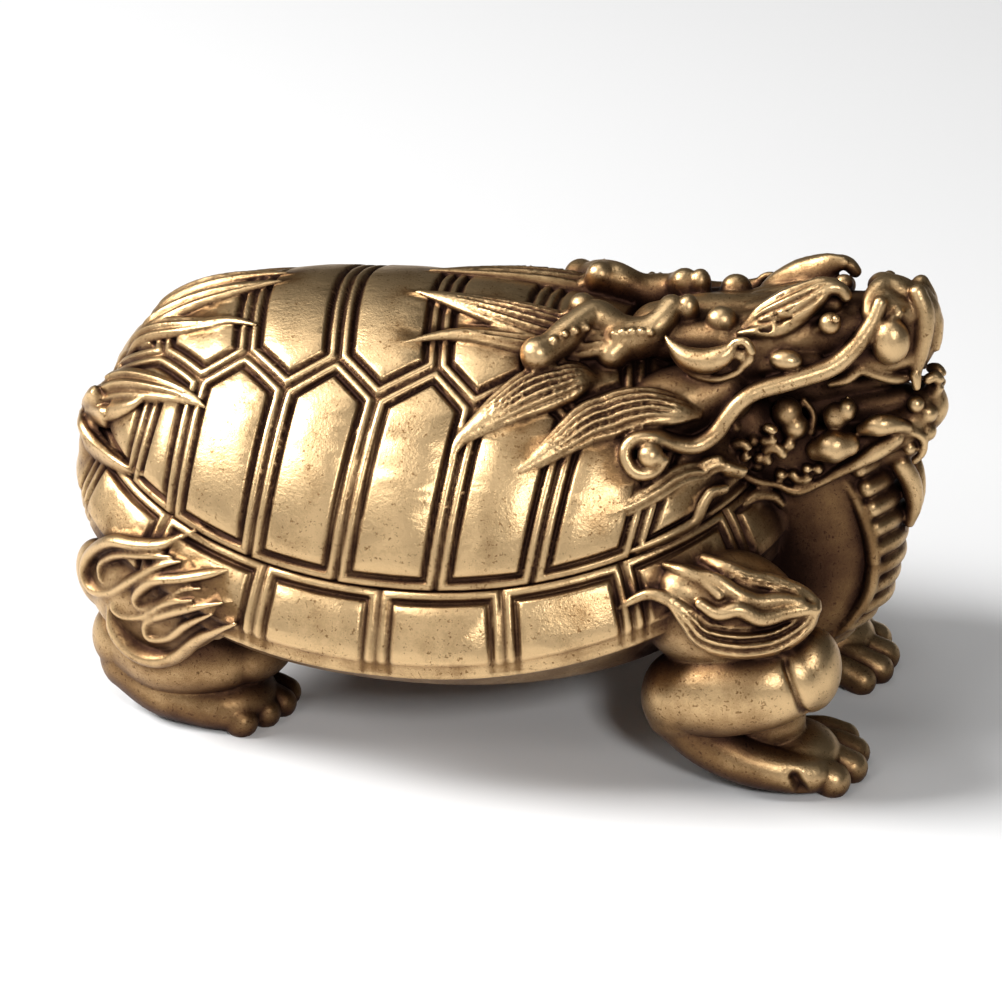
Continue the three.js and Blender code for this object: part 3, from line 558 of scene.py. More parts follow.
hindLeg = {
    "masses": [(-17.4, 7.6, 8.2, 5.4, 3.2, 4.4), (-14.4, 7.0, 4.6, 3.0, 3.0, 2.4),
               (-15.6, 7.6, 1.4, 3.2, 3.0, 1.8)],
    "limbs": [
        [(-21.0, 7.5, 4.5, 2.4), (-18.4, 8.2, 4.7, 3.1), (-15.6, 8.2, 4.6, 2.7), (-13.8, 7.8, 4.8, 1.9)],
        [(-20.6, 7.5, 3.2, 2.4), (-18.6, 8.5, 2.0, 2.0), (-16.2, 9.2, 1.3, 1.4), (-14.8, 9.4, 1.1, 1.15)],
    ],
    "hip": [(-22.2, 8.6, 8.8, 2.2), (-20.4, 9.7, 8.6, 3.0), (-17.4, 11.1, 8.6, 2.9), (-14.8, 12.4, 9.4, 1.9)],
    "toes": [(-13.9, 9.6, 1.0), (-12.9, 8.2, 0.95), (-12.3, 6.8, 0.92), (-12.4, 5.4, 0.9)],
    "toeLength": 1.7, "toeMiddle": 7.6,
    "hipShape": {"flat": 0.5, "up": (-0.35, -0.94, 0)},
    "ribbonShape": {"bed": 1.6, "ridge": 0.3, "up": (-0.35, -0.94, 0.1)},
    "proud": 0.08,  # how far the ribbons are lifted off the hip
    "taper": 0.35,  # what is left of their radius at both ends
    "ribbons": [
        [(-14.9, 11.7, 14.3, 0.15), (-16.4, 11.5, 13.3, 0.3), (-17.5, 11.7, 12.8, 0.42),
         (-19.1, 11.4, 12.5, 0.42), (-20.9, 10.6, 12.1, 0.42), (-22.5, 9.5, 10.6, 0.45),
         (-23.0, 9.2, 9.3, 0.45), (-22.4, 9.7, 8.5, 0.45), (-21.0, 10.6, 8.9, 0.4), (-19.2, 11.6, 10.4, 0.4),
         (-17.4, 12.3, 11.8, 0.3), (-16.1, 12.7, 12.4, 0.2)],
        [(-16.7, 12.5, 12.5, 0.2), (-18.4, 11.8, 12.1, 0.3), (-20.5, 10.8, 11.4, 0.32),
         (-21.7, 10.1, 10.3, 0.32), (-21.5, 10.2, 9.3, 0.32), (-20.0, 11.0, 10.0, 0.28),
         (-18.4, 12.1, 11.3, 0.25)],
        [(-12.9, 13.0, 12.5, 0.15), (-14.2, 13.2, 12.1, 0.3), (-16.0, 13.0, 11.5, 0.35),
         (-17.9, 12.4, 10.8, 0.38), (-19.1, 11.7, 9.4, 0.38), (-18.8, 11.7, 8.7, 0.36),
         (-17.6, 12.3, 9.4, 0.3), (-16.0, 13.1, 10.8, 0.25), (-14.7, 13.6, 11.3, 0.15)],
        [(-20.4, 10.9, 9.0, 0.3), (-20.8, 10.8, 8.1, 0.35), (-20.1, 11.1, 7.7, 0.35),
         (-18.6, 11.9, 8.3, 0.32), (-16.9, 12.9, 9.8, 0.28), (-15.2, 13.8, 10.6, 0.2)],
        [(-13.3, 14.1, 10.8, 0.2), (-15.3, 13.5, 10.0, 0.3), (-17.2, 12.6, 8.9, 0.35),
         (-18.5, 11.8, 7.8, 0.36), (-18.4, 11.8, 6.9, 0.36), (-17.1, 12.3, 7.3, 0.32),
         (-15.7, 13.1, 8.7, 0.3), (-13.9, 14.2, 10.1, 0.2)],
        [(-21.2, 10.7, 8.0, 0.5), (-20.8, 10.7, 6.7, 0.6), (-19.8, 11.0, 5.6, 0.65), (-18.4, 11.4, 5.3, 0.6),
         (-16.9, 11.8, 5.9, 0.5), (-15.0, 13.0, 7.9, 0.4), (-12.5, 14.5, 9.8, 0.3)],
    ],
}


def makeHindLeg():
    forms = [ball(*mass) for mass in hindLeg["masses"]]
    forms += [clay(limb) for limb in hindLeg["limbs"]]
    forms.append(clay(hindLeg["hip"], **hindLeg["hipShape"]))
    for ribbon in hindLeg["ribbons"]:
        first, *between, last = [(x, out + hindLeg["proud"], z, radius) for x, out, z, radius in ribbon]
        first, last = [(x, out, z, radius * hindLeg["taper"]) for x, out, z, radius in (first, last)]
        forms.append(clay([first, *between, last], **hindLeg["ribbonShape"]))
    return forms + toeForms(hindLeg)


# head, thrown back: skull and jaw, with the right-hand half of what sits on them

head = {
    "skull": [(8.4, 23.2, 1.8, 1.2), (9.6, 23.2, 2.9, 2.0), (11.6, 23.3, 3.7, 2.4), (14.2, 23.5, 3.8, 2.5),
              (16.4, 24.2, 3.4, 2.3), (18.4, 24.7, 2.6, 1.9), (20.4, 25.0, 2.1, 1.8), (22.4, 25.1, 1.8, 1.8),
              (23.4, 25, 1.2, 1.5)],
    "jaw": [(10, 20.2, 2.5, 1.9), (12, 20.0, 3.6, 3.0), (14.4, 19.0, 3.7, 2.7), (17, 17.9, 3.2, 1.8),
            (20, 18.4, 2.6, 1.3), (22.6, 19, 2.0, 1.0), (23.6, 19.3, 1.4, 0.8)],
    "palate": [(12.6, 0, 21, 2.4), (16.6, 0, 21.0, 1.6), (19.4, 0, 21.2, 0.9), (21.4, 0, 21.9, 0.6)],
    "crown": [(8.6, 0, 23.4, 1.8), (11.0, 0, 24.0, 1.9), (14.0, 0, 24.4, 1.8), (17.0, 0, 25.2, 1.5),
              (19.0, 0, 25.6, 1.1)],
    "middle": [
        [(23.0, 0, 27, 0.8), (23.6, 0, 26, 0.8), (23.5, 0, 24.4, 0.8), (23.1, 0, 23.2, 0.7)],
        [(23.6, 0, 19.3, 0.8), (24.4, 0, 20.4, 0.7), (24.2, 0, 21.6, 0.5)],
        [(14.0, 0, 19.6, 1.6), (18.0, 0, 19.8, 1.3), (21.0, 0, 20.3, 1.1), (22.6, 0, 20.8, 0.8)],
        [(20.4, 0, 17.8, 1.2), (21.8, 0, 17.7, 1.2), (22.8, 0, 18.4, 1.1)],
    ],
    "middleShape": {"up": (0, 1, 0), "flat": 1.2},
}

face = {
    "browHook": [(17.4, 2.1, 27.0, 0.38), (18.2, 2.0, 27.8, 0.42), (18.9, 1.8, 27.8, 0.42),
                 (19.3, 1.8, 27.4, 0.36)],
    "browUnder": [(13.6, 3.2, 25.2, 0.15), (14.7, 3.2, 25.4, 0.35), (15.8, 3.0, 25.5, 0.45),
                  (16.8, 2.7, 26.1, 0.4), (17.6, 2.3, 26.7, 0.3)],
    "crown": [(14.0, 0.8, 25.3, 0.8), (16.6, 0.8, 26.0, 0.9), (18.2, 0.9, 26.3, 0.7)],
    "eyeBack": [(17.9, 2.5, 25.6, 0.3), (18.4, 2.4, 25.8, 0.4)],
    "muzzle": [(18.6, 1.4, 25.2, 0.8), (20.0, 1.2, 25.6, 0.8), (21.0, 0.9, 25.8, 0.7)],
    "browSeat": [(14.0, 1.8, 25.0, 0.9), (16.2, 1.7, 25.9, 0.9), (17.6, 1.5, 26.6, 0.7),
                 (18.6, 1.4, 26.7, 0.5)],
    "lipSeat": [(18.4, 1.7, 23.4, 0.8), (20.0, 1.5, 23.7, 0.9), (21.6, 1.3, 23.8, 0.9),
                (22.7, 0.9, 23.9, 0.8)],
    "noseSeat": [(21.3, 0.9, 26.6, 1.1), (22.4, 0.6, 26.2, 1.0)],
    "chinSeat": [(21.6, 1.2, 19.0, 1.2), (23.0, 0.8, 19.7, 1.1), (23.6, 0.4, 20.8, 0.8)],
    "templeSeat": [(9.4, 2.4, 24.0, 1.1), (12.4, 2.5, 24.4, 1.1)],
    "nostril": [(20.6, 1.9, 26.5, 0.4), (20.6, 1.3, 26.9, 0.55), (21.0, 0.5, 27.4, 0.65),
                (21.6, -0.1, 27.4, 0.72), (22.4, -0.1, 27.1, 0.68), (22.6, 0.8, 26.5, 0.45)],
    "noseBand": [(23.1, 0.7, 27.5, 0.5), (23.5, 0.8, 26.4, 0.62), (23.5, 1.0, 25.2, 0.62),
                 (23.4, 1.1, 24.0, 0.5), (23.3, 1.2, 23.1, 0.35)],
    "noseEdge": [(23.9, 0.2, 26.4, 0.3), (24.2, 0.2, 25.5, 0.35), (24.2, 0.3, 24.2, 0.3)],
    "upperLip": [(18.7, 2.4, 22.3, 0.2), (19.6, 2.4, 22.7, 0.34), (20.3, 2.2, 23.3, 0.4),
                 (21.0, 1.9, 23.0, 0.38), (22.0, 1.5, 22.6, 0.38), (22.8, 1.0, 22.6, 0.35),
                 (23.3, 0.6, 23.0, 0.3)],
    "fang": [(23.3, 1.4, 22.9, 0.35), (23.4, 1.5, 22.2, 0.25)],
    "molarRing": [(17.2, 2.2, 21.1, 0.2), (17.8, 2.3, 20.3, 0.25), (17.8, 2.9, 19.4, 0.2)],
    "toothRing": [(19.6, 1.8, 21.3, 0.15), (20.0, 1.5, 20.5, 0.2), (19.7, 1.3, 19.6, 0.15)],
    "tongue": [(18.2, 3.3, 18.6, 0.6), (19.1, 3.3, 18.9, 0.95), (19.9, 3.0, 19.0, 0.7)],
    "lowerLip": [(20.6, 2.6, 19.8, 0.35), (21.5, 2.7, 20.2, 0.65), (22.4, 2.4, 20.2, 0.5),
                 (23.0, 2.0, 19.9, 0.35)],
    "jawEdge": [(13.7, 4.6, 17.5, 0.2), (15.0, 4.3, 16.8, 0.26), (16.1, 3.9, 16.5, 0.2),
                (17.2, 3.6, 16.1, 0.3), (18.5, 3.2, 16.6, 0.24), (19.6, 2.9, 17.3, 0.34),
                (20.6, 2.7, 17.9, 0.4), (21.6, 2.5, 18.6, 0.5), (22.5, 2.2, 19.3, 0.45)],
    "chinCurl": [(22.4, 2.1, 19.4, 0.25), (23.2, 1.8, 19.6, 0.28), (23.9, 1.5, 19.1, 0.28),
                 (23.9, 1.4, 18.2, 0.25), (23.5, 1.4, 17.6, 0.2)],
    "lipCurl": [(23.9, 0.8, 22.4, 0.3), (24.3, 0.5, 22.5, 0.35), (24.6, 0.4, 22.0, 0.33),
                (24.3, 0.5, 21.4, 0.25)],
    "goatee": [(22.7, 1.0, 17.2, 0.6), (23.3, 0.7, 15.9, 0.6), (23.5, 0.5, 14.5, 0.5),
               (23.3, 0.5, 13.3, 0.3)],
    "earCup": [(9.7, 4.3, 25.1, 0.1), (10.1, 4.5, 24.7, 0.3), (11.0, 4.8, 24.2, 0.6), (12.1, 4.9, 24.1, 0.72),
               (13.0, 4.9, 24.5, 0.62), (13.5, 4.8, 25.0, 0.35), (13.6, 4.7, 25.3, 0.2)],
    "earRim": [(9.8, 4.2, 24.7, 0.12), (10.4, 4.6, 23.9, 0.2), (11.5, 4.8, 23.2, 0.24),
               (12.7, 4.9, 23.1, 0.24), (13.7, 4.9, 23.5, 0.22), (14.3, 4.8, 24.0, 0.15)],
    "earCurl": [(13.4, 4.8, 25.1, 0.2), (13.8, 4.8, 25.4, 0.24), (14.3, 4.8, 25.4, 0.26),
                (14.6, 4.8, 24.8, 0.28), (14.4, 4.8, 24.2, 0.26), (14.0, 4.8, 23.9, 0.2)],
    "cheek": [(15.2, 3.3, 23.5, 0.6), (16.6, 3.2, 23.7, 0.7), (17.8, 2.8, 23.8, 0.5)],
    "neckLeaf": [(14.4, 5.2, 15.7, 0.3), (15.0, 4.5, 16.0, 0.4), (15.9, 3.9, 15.8, 0.35),
                 (16.4, 3.6, 15.2, 0.25)],
}

brow = {
    "run": [(13.9, 2.6, 25.3, 0.35), (14.9, 2.5, 26.0, 0.8), (16.1, 2.4, 26.6, 1.1), (17.1, 2.2, 27.2, 1.0),
            (18.0, 1.9, 27.8, 0.7), (18.6, 1.7, 28.0, 0.38)],
    "shape": {"flat": 0.75, "up": (0, -0.8, 0.6), "strands": 4, "furrow": 0.35, "bed": 0.8},
}

# place and half size, or three half sizes
faceBalls = {
    "eye": (18.6, 2.8, 26.1, 0.64), "pupil": (19.0, 3.5, 26.7, 0.24),
    "cheekBead": (16.4, 4.0, 24.2, 0.95, 0.65, 0.6), "earBall": (14.0, 4.7, 24.6, 0.4),
    "crownKnob": (18.8, 0.9, 27.0, 0.55), "templeKnob": (12.5, 2.4, 25.5, 0.9, 0.8, 0.85),
    "backKnob": (10.5, 1.9, 25.8, 0.65, 0.7, 0.9), "backLeaf": (9.7, 2.4, 25.4, 0.4),
    "bulb": (21.9, 2.2, 25.1, 1.1, 1.0, 1.35), "bulbTop": (21.9, 1.8, 26.1, 0.55),
    "nostrilBall": (22.2, 1.6, 26.6, 0.35),
    "molar": (16.4, 2.8, 20.5, 0.85, 0.8, 0.9), "molarFoot": (16.9, 3.0, 19.8, 0.78, 0.75, 0.75),
    "tooth": (19.1, 2.5, 20.4, 0.72, 0.72, 0.85), "toothTip": (19.7, 2.6, 20.9, 0.55, 0.55, 0.68),
    "chinBall": (23.2, 1.6, 18.5, 0.42), "lipBlobHigh": (23.4, 1.4, 21.1, 0.5),
    "lipBlobMiddle": (24.0, 0.9, 20.4, 0.6), "lipBlobLow": (24.0, 0.9, 19.3, 0.6),
}

# small curls under the jaw
curls = {
    "places": [(15.9, 3.9, 18.3, 0.5, 20), (17.4, 3.5, 17.2, 0.45, 200), (14.1, 4.5, 18.7, 0.45, 300),
               (15.5, 4.0, 19.6, 0.42, 250)],
    "turns": [0, 50, 100, 150, 200],  # degrees on from the angle at which each curl opens
    "thickness": 0.72,  # of the curl's own size
}

# beads between the curls: place and half size
beads = [(13.6, 3.7, 19.7, 0.4), (14.9, 3.5, 17.5, 0.42), (16.3, 3.6, 17.0, 0.36), (14.7, 3.7, 19.0, 0.36),
         (16.7, 3.5, 18.9, 0.4), (15.1, 4.0, 18.1, 0.34), (18.3, 3.2, 17.4, 0.34)]

whisker = {
    "run": [(21.2, 1.9, 27.2, 0.4), (20.8, 2.3, 26.0, 0.5), (19.9, 3.0, 24.7, 0.52), (18.8, 3.6, 23.8, 0.54),
            (16.9, 4.4, 23.2, 0.52), (15.0, 5.0, 22.6, 0.48), (14.1, 5.4, 22.0, 0.46),
            (13.5, 5.7, 21.2, 0.46), (13.0, 6.0, 20.4, 0.48), (12.4, 6.4, 19.9, 0.48),
            (11.7, 6.8, 19.7, 0.46), (10.7, 7.3, 20.0, 0.42), (9.9, 7.9, 20.5, 0.42), (8.9, 8.2, 20.5, 0.42),
            (8.4, 8.5, 20.0, 0.42), (8.5, 8.8, 19.4, 0.42), (9.0, 9.0, 18.9, 0.42), (9.6, 8.9, 18.8, 0.4),
            (10.1, 8.6, 19.0, 0.38), (10.4, 8.4, 19.5, 0.38)],
    "shape": {"up": (0, -1, 0), "bed": 1.5},
    "bead": (9.75, 8.5, 19.75, 0.74),
}

horns = {
    "beam": [(9.6, 2.0, 25.8, 0.8), (9.0, 2.9, 25.1, 0.85), (7.9, 3.1, 24.5, 1.05), (6.7, 3.0, 24.7, 0.95),
             (5.5, 2.8, 25.3, 0.95), (4.8, 3.5, 25.2, 0.85), (4.1, 4.4, 24.7, 0.92), (3.4, 5.2, 24.2, 0.88),
             (2.8, 5.8, 24.0, 1.0)],
    "prongs": [
        [(8.8, 3.1, 24.9, 0.85), (7.7, 3.3, 24.5, 1.05), (7.0, 3.6, 24.4, 0.95)],
        [(7.9, 3.1, 24.5, 0.9), (7.1, 3.7, 24.1, 0.9), (6.6, 4.2, 23.7, 0.85)],
        [(5.4, 2.6, 25.2, 0.7), (4.6, 2.4, 25.6, 0.8)],
    ],
    "ribs": [(3.7, 5.65, 24.9), (4.25, 5.35, 25.15), (4.75, 4.9, 25.2), (5.25, 4.35, 25.2),
             (6.8, 4.25, 24.95), (7.3, 4.2, 25.1), (7.8, 4.1, 25.15), (8.3, 4.0, 25.15), (8.8, 3.95, 25.1)],
    "ribSize": 0.23,
    "bed": 0.4,
}


def makeHead():
    forms = [sectionClay(head["skull"]), sectionClay(head["jaw"]), clay(head["palate"]), clay(head["crown"])]
    forms += [clay(form, **head["middleShape"]) for form in head["middle"]]
    forms += [clay(form) for form in face.values()]
    forms.append(clay(brow["run"], **brow["shape"]))
    forms += [ball(*form) for form in faceBalls.values()]
    for x, out, z, size, opening in curls["places"]:
        turns = np.radians(opening + np.array(curls["turns"]))
        girth = size * curls["thickness"]
        stops = [(x + size * math.cos(turn), out, z + size * math.sin(turn), girth) for turn in turns]
        forms.append(clay(stops))
    forms += [ball(*bead) for bead in beads]
    forms += [clay(whisker["run"], **whisker["shape"]), ball(*whisker["bead"])]
    forms += [clay(form, bed=horns["bed"]) for form in (horns["beam"], *horns["prongs"])]
    forms += [ball(*place, horns["ribSize"]) for place in horns["ribs"]]
    return forms


# mane: leaf-shaped locks of parallel strands, from the nape and jaw back on to the shell

mane = {
    # the stops of each lock and the number of its strands
    "locks": [
        ([(6.5, 3.0, 24.8, 1.0), (5.1, 3.1, 25.0, 1.2), (3.2, 3.2, None, 1.45), (1.5, 3.0, None, 1.4),
          (-0.6, 2.6, None, 1.1), (-2.9, 2.1, None, 0.65), (-5.2, 1.6, None, 0.12)], 6),
        ([(5.8, 4.2, 24.2, 0.8), (3.8, 4.4, None, 0.85), (1.9, 4.5, None, 0.85), (0.3, 4.5, None, 0.75),
          (-1.4, 4.5, None, 0.55), (-3.1, 4.8, None, 0.35), (-4.9, 5.4, None, 0.12)], 4),
        ([(6.0, 5.4, 22.6, 0.5), (5.1, 5.9, 22.8, 1.1), (4.1, 6.4, None, 1.4), (2.9, 7.1, None, 1.5),
          (1.5, 8.1, None, 1.15), (0.2, 9.1, None, 0.7), (-0.7, 9.8, None, 0.4),
          (-1.1, 10.7, None, 0.12)], 7),
        ([(11.8, 5.7, 21.3, 0.4), (10.7, 6.2, 21.6, 0.9), (8.9, 6.6, 21.7, 1.28), (6.6, 7.5, None, 1.35),
          (5.0, 8.8, None, 0.95), (3.6, 9.9, None, 0.55), (2.6, 10.5, None, 0.35),
          (1.8, 11.2, None, 0.12)], 6),
        ([(14.4, 5.8, 18.2, 0.4), (13.2, 6.3, 18.6, 0.55), (12.1, 6.9, None, 0.68), (11.1, 7.8, None, 0.72),
          (10.1, 8.8, None, 0.68), (8.8, 9.8, None, 0.55), (7.3, 10.6, None, 0.36),
          (5.4, 11.3, None, 0.12)], 3),
        ([(13.6, 6.6, 17.4, 0.3), (12.7, 7.4, 17.3, 0.4), (11.9, 8.3, None, 0.42), (10.8, 9.4, None, 0.38),
          (9.6, 10.2, None, 0.28), (8.2, 10.9, None, 0.1)], 2),
        ([(8.4, 8.7, None, 0.2), (8.0, 9.4, None, 0.25), (7.6, 10.1, None, 0.15)], 0),
        ([(9.4, 8.6, None, 0.2), (8.7, 9.4, None, 0.25), (7.8, 10.1, None, 0.15)], 0),
    ],
    "nape": [[(12.6, 3.0, 21.6, 2.0), (9.6, 4.4, 20.6, 2.2), (7.6, 5.6, 20.0, 1.4)],
             [(12.8, 2.4, 18.6, 1.9), (11.6, 4.0, 17.8, 1.8), (10.4, 5.6, 17.2, 1.1)]],
}


def makeMane():
    forms = [clay(lump) for lump in mane["nape"]]
    for stops, strands in mane["locks"]:
        forms.append(clay(stops, strands=strands, **lockShape))
    return forms


# grooves and pits pressed into the clay: the stops of each stroke and its depth
strokes = {
    "kneeCrease": ([(18.0, 11.0, 10.0, 0.3), (18.2, 11.2, 8.6, 0.32), (18.6, 11.0, 7.0, 0.32),
                    (19.4, 10.6, 5.6, 0.3)], 0.22),
    "heelNotch": ([(19.0, 11.2, 1.9, 0.5), (19.2, 11.2, 1.0, 0.55), (19.3, 10.8, 0.3, 0.5)], 0.5),
    "browSlit": ([(14.9, 4.2, 26.3, 0.25), (15.9, 4.1, 26.5, 0.28), (16.7, 3.9, 27.0, 0.2)], 0.3),
}
strokeStep = 0.08
strokeMargin = 2  # only what is this near to a stroke is looked at


def chisel(piece):
    ground = BVHTree.FromObject(piece, bpy.context.evaluated_depsgraph_get())
    places, normals = placesOf(piece), normalsOf(piece)
    push = np.zeros(len(places))
    for stops, depth in strokes.values():
        for side in (-1, 1):
            rows, _ = smoothPath([(x, side * out, z, width) for x, out, z, width in stops], strokeStep)
            low, high = rows[:, :3].min(0) - strokeMargin, rows[:, :3].max(0) + strokeMargin
            near = np.where(np.all((places > low) & (places < high), axis=1))[0]
            spots = np.array([ground.find_nearest(Vector(row[:3]))[0] for row in rows])
            away = np.linalg.norm(places[near][:, None] - spots[None], axis=2) / rows[None, :, 3]
            push[near] = np.maximum(push[near], depth * fadeOut(away.min(1)))
    setPlaces(piece, places - normals * push[:, None])


# all of the clay becomes one skin, joined to the shell and thinned
skin = {"voxel": 0.095, "smoothing": 0.5, "smoothRounds": 2, "triangles": 196000}

shellPiece = makeShell()
print("shell made", len(shellPiece.data.polygons))

forms = [*makeTail(), *makeNeck(), *makeFrontLeg(), *makeHindLeg(), *makeHead(), *makeMane()]
clayPiece = joined(forms, "clay")
merged(clayPiece)
applied(clayPiece, "MIRROR", use_axis=(False, True, False), use_clip=False, use_mirror_merge=False)
applied(clayPiece, "REMESH", mode="VOXEL", voxel_size=skin["voxel"], adaptivity=0)
applied(clayPiece, "SMOOTH", factor=skin["smoothing"], iterations=skin["smoothRounds"])
chisel(clayPiece)
print("clay pressed into one skin", len(clayPiece.data.polygons))

# what hangs below the table is cut off flat
pick(clayPiece)
bpy.ops.object.mode_set(mode="EDIT")
bpy.ops.mesh.select_all(action="SELECT")
bpy.ops.mesh.bisect(plane_co=(0, 0, 0), plane_no=(0, 0, 1), use_fill=True, clear_inner=True)
bpy.ops.object.mode_set(mode="OBJECT")

figure = shellPiece
applied(figure, "BOOLEAN", operation="UNION", solver="MANIFOLD", object=clayPiece)
bpy.data.objects.remove(clayPiece)
figure.name = "dragonTurtle"
applied(figure, "TRIANGULATE")
bpy.ops.object.shade_smooth()
fine = figure.copy()
fine.data = figure.data.copy()
bpy.context.collection.objects.link(fine)
print("joined", len(figure.data.polygons))
applied(figure, "DECIMATE", ratio=min(1.0, skin["triangles"] / len(figure.data.polygons)))
print("thinned to", len(figure.data.polygons), "triangles")

# the thinned skin is shaded with the normals of the fine one
applied(figure, "DATA_TRANSFER", object=fine, use_loop_data=True, data_types_loops={"CUSTOM_NORMAL"},
        loop_mapping="POLYINTERP_NEAREST")
bpy.data.objects.remove(fine)
pick(figure)
figure.scale = (toMetres,) * 3
bpy.ops.object.transform_apply(location=True, rotation=True, scale=True)

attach(figure, "root")
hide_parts("dragon_turtle")


# old brass: bright where hands have rubbed it, dark brown patina in the hollows, with painted shade under
# overhanging parts and painted highlights on the knee, arm and feet

brass = {
    "black": (0.030, 0.014, 0.010, 1), "brown": (0.082, 0.038, 0.022, 1), "russet": (0.150, 0.080, 0.037, 1),
    "gold": (0.29, 0.168, 0.070, 1), "rubbed": (0.71, 0.49, 0.255, 1),
    "stops": (0.0, 0.24, 0.50, 0.74, 1.0),  # where each colour sits on the scale of rubbing and painted light, from hollow and painted shade to edge and painted highlight
    "hollows": (0.00045, 0.003, 0.009),  # metres, from fine hollows to wide ones: the two finer reaches darken the hollows as patina, the widest paints shade under the head, between the legs and under the shell
    "hollowWeights": (1.0, 1.15, 0.7), "hollowSamples": 6,
    "edgeContrast": 1.6, "edgeBlur": 2, "edgeGlint": 1.24,
    "mottle": 0.6, "mottleMiddle": 0.55, "grain": 0.3,
    "specks": 0.4, "specksFrom": 0.57, "specksSharpness": 6,
    "rubbing": 0.92,  # less leaves all of it darker
    "roughness": (0.62, 0.38),  # in the hollows, on the rubbed parts
    "dents": 0.3, "dentDepth": 0.00006, "pits": 0.7, "pitDepth": 0.00003,
    # noises: scale, detail and roughness
    "mottleNoise": (520, 4, 0.55), "speckNoise": (4200, 2, 0.7), "dentNoise": (1100, 3, 0.55),
    "pitNoise": (5200, 2, 0.7),
    "neutral": 0.5,  # an attribute or a noise of this size changes nothing
    # painted shade where the figure shades itself (under the head, in the mouth and round the front leg) and
    # painted highlights where the lamps catch the knee, the upper arm, the front leg and both feet: place on
    # one side, reach, amount
    "paintedShadeAndHighlight": [(18.5, 2.5, 12.5, 6.5, -0.42), (16.4, 3.8, 17.8, 3.0, -0.12), (17.2, 5.2, 9.0, 3.5, -0.35),
             (18.6, 10.4, 7.4, 3.4, 0.12), (13.0, 12.0, 7.6, 3.6, 0.08), (13.4, 11.6, 3.4, 3.4, -0.14),
             (-18.5, 11.0, 3.4, 4.5, 0.12), (19.6, 9.0, 1.8, 4.4, 0.26), (15.6, 9.8, 2.4, 2.6, 0.14)],
}


# how much each place stands out from its neighbours, and the painted shade and highlights laid on it, kept on
# the mesh for the material
def markEdges(piece):
    mesh = piece.data
    ends = np.empty(len(mesh.edges) * 2, int)
    mesh.edges.foreach_get("vertices", ends)
    a, b = ends.reshape(-1, 2).T
    places, normals = placesOf(piece), normalsOf(piece)
    number = len(places)
    count = np.maximum(np.bincount(a, minlength=number) + np.bincount(b, minlength=number), 1)

    def around(values):
        return (np.bincount(a, values[b], number) + np.bincount(b, values[a], number)) / count

    middle = np.stack([around(places[:, k]) for k in range(3)], -1)
    span = np.linalg.norm(places[a] - places[b], axis=1)
    reach = (np.bincount(a, span, number) + np.bincount(b, span, number)) / count
    out = -((middle - places) * normals).sum(1) / (reach + 1e-9)
    for _ in range(brass["edgeBlur"]):
        out = 0.5 * out + 0.5 * around(out)
    setNumbers(piece, "standingOut", np.clip(out * brass["edgeContrast"] + brass["neutral"], 0, 1))
    # painted shade and highlights, laid on spot by spot from the list
    paintedShadeAndHighlight = np.zeros(number)
    folded = places * (1, 0, 1) + np.abs(places) * (0, 1, 0)  # both sides laid on one
    for x, side, z, reach, amount in brass["paintedShadeAndHighlight"]:
        spot = np.array([x, side, z]) * toMetres
        paintedShadeAndHighlight += amount * fadeOut(np.linalg.norm(folded - spot, axis=1) / (reach * toMetres))
    setNumbers(piece, "paintedShadeAndHighlight", paintedShadeAndHighlight + brass["neutral"])


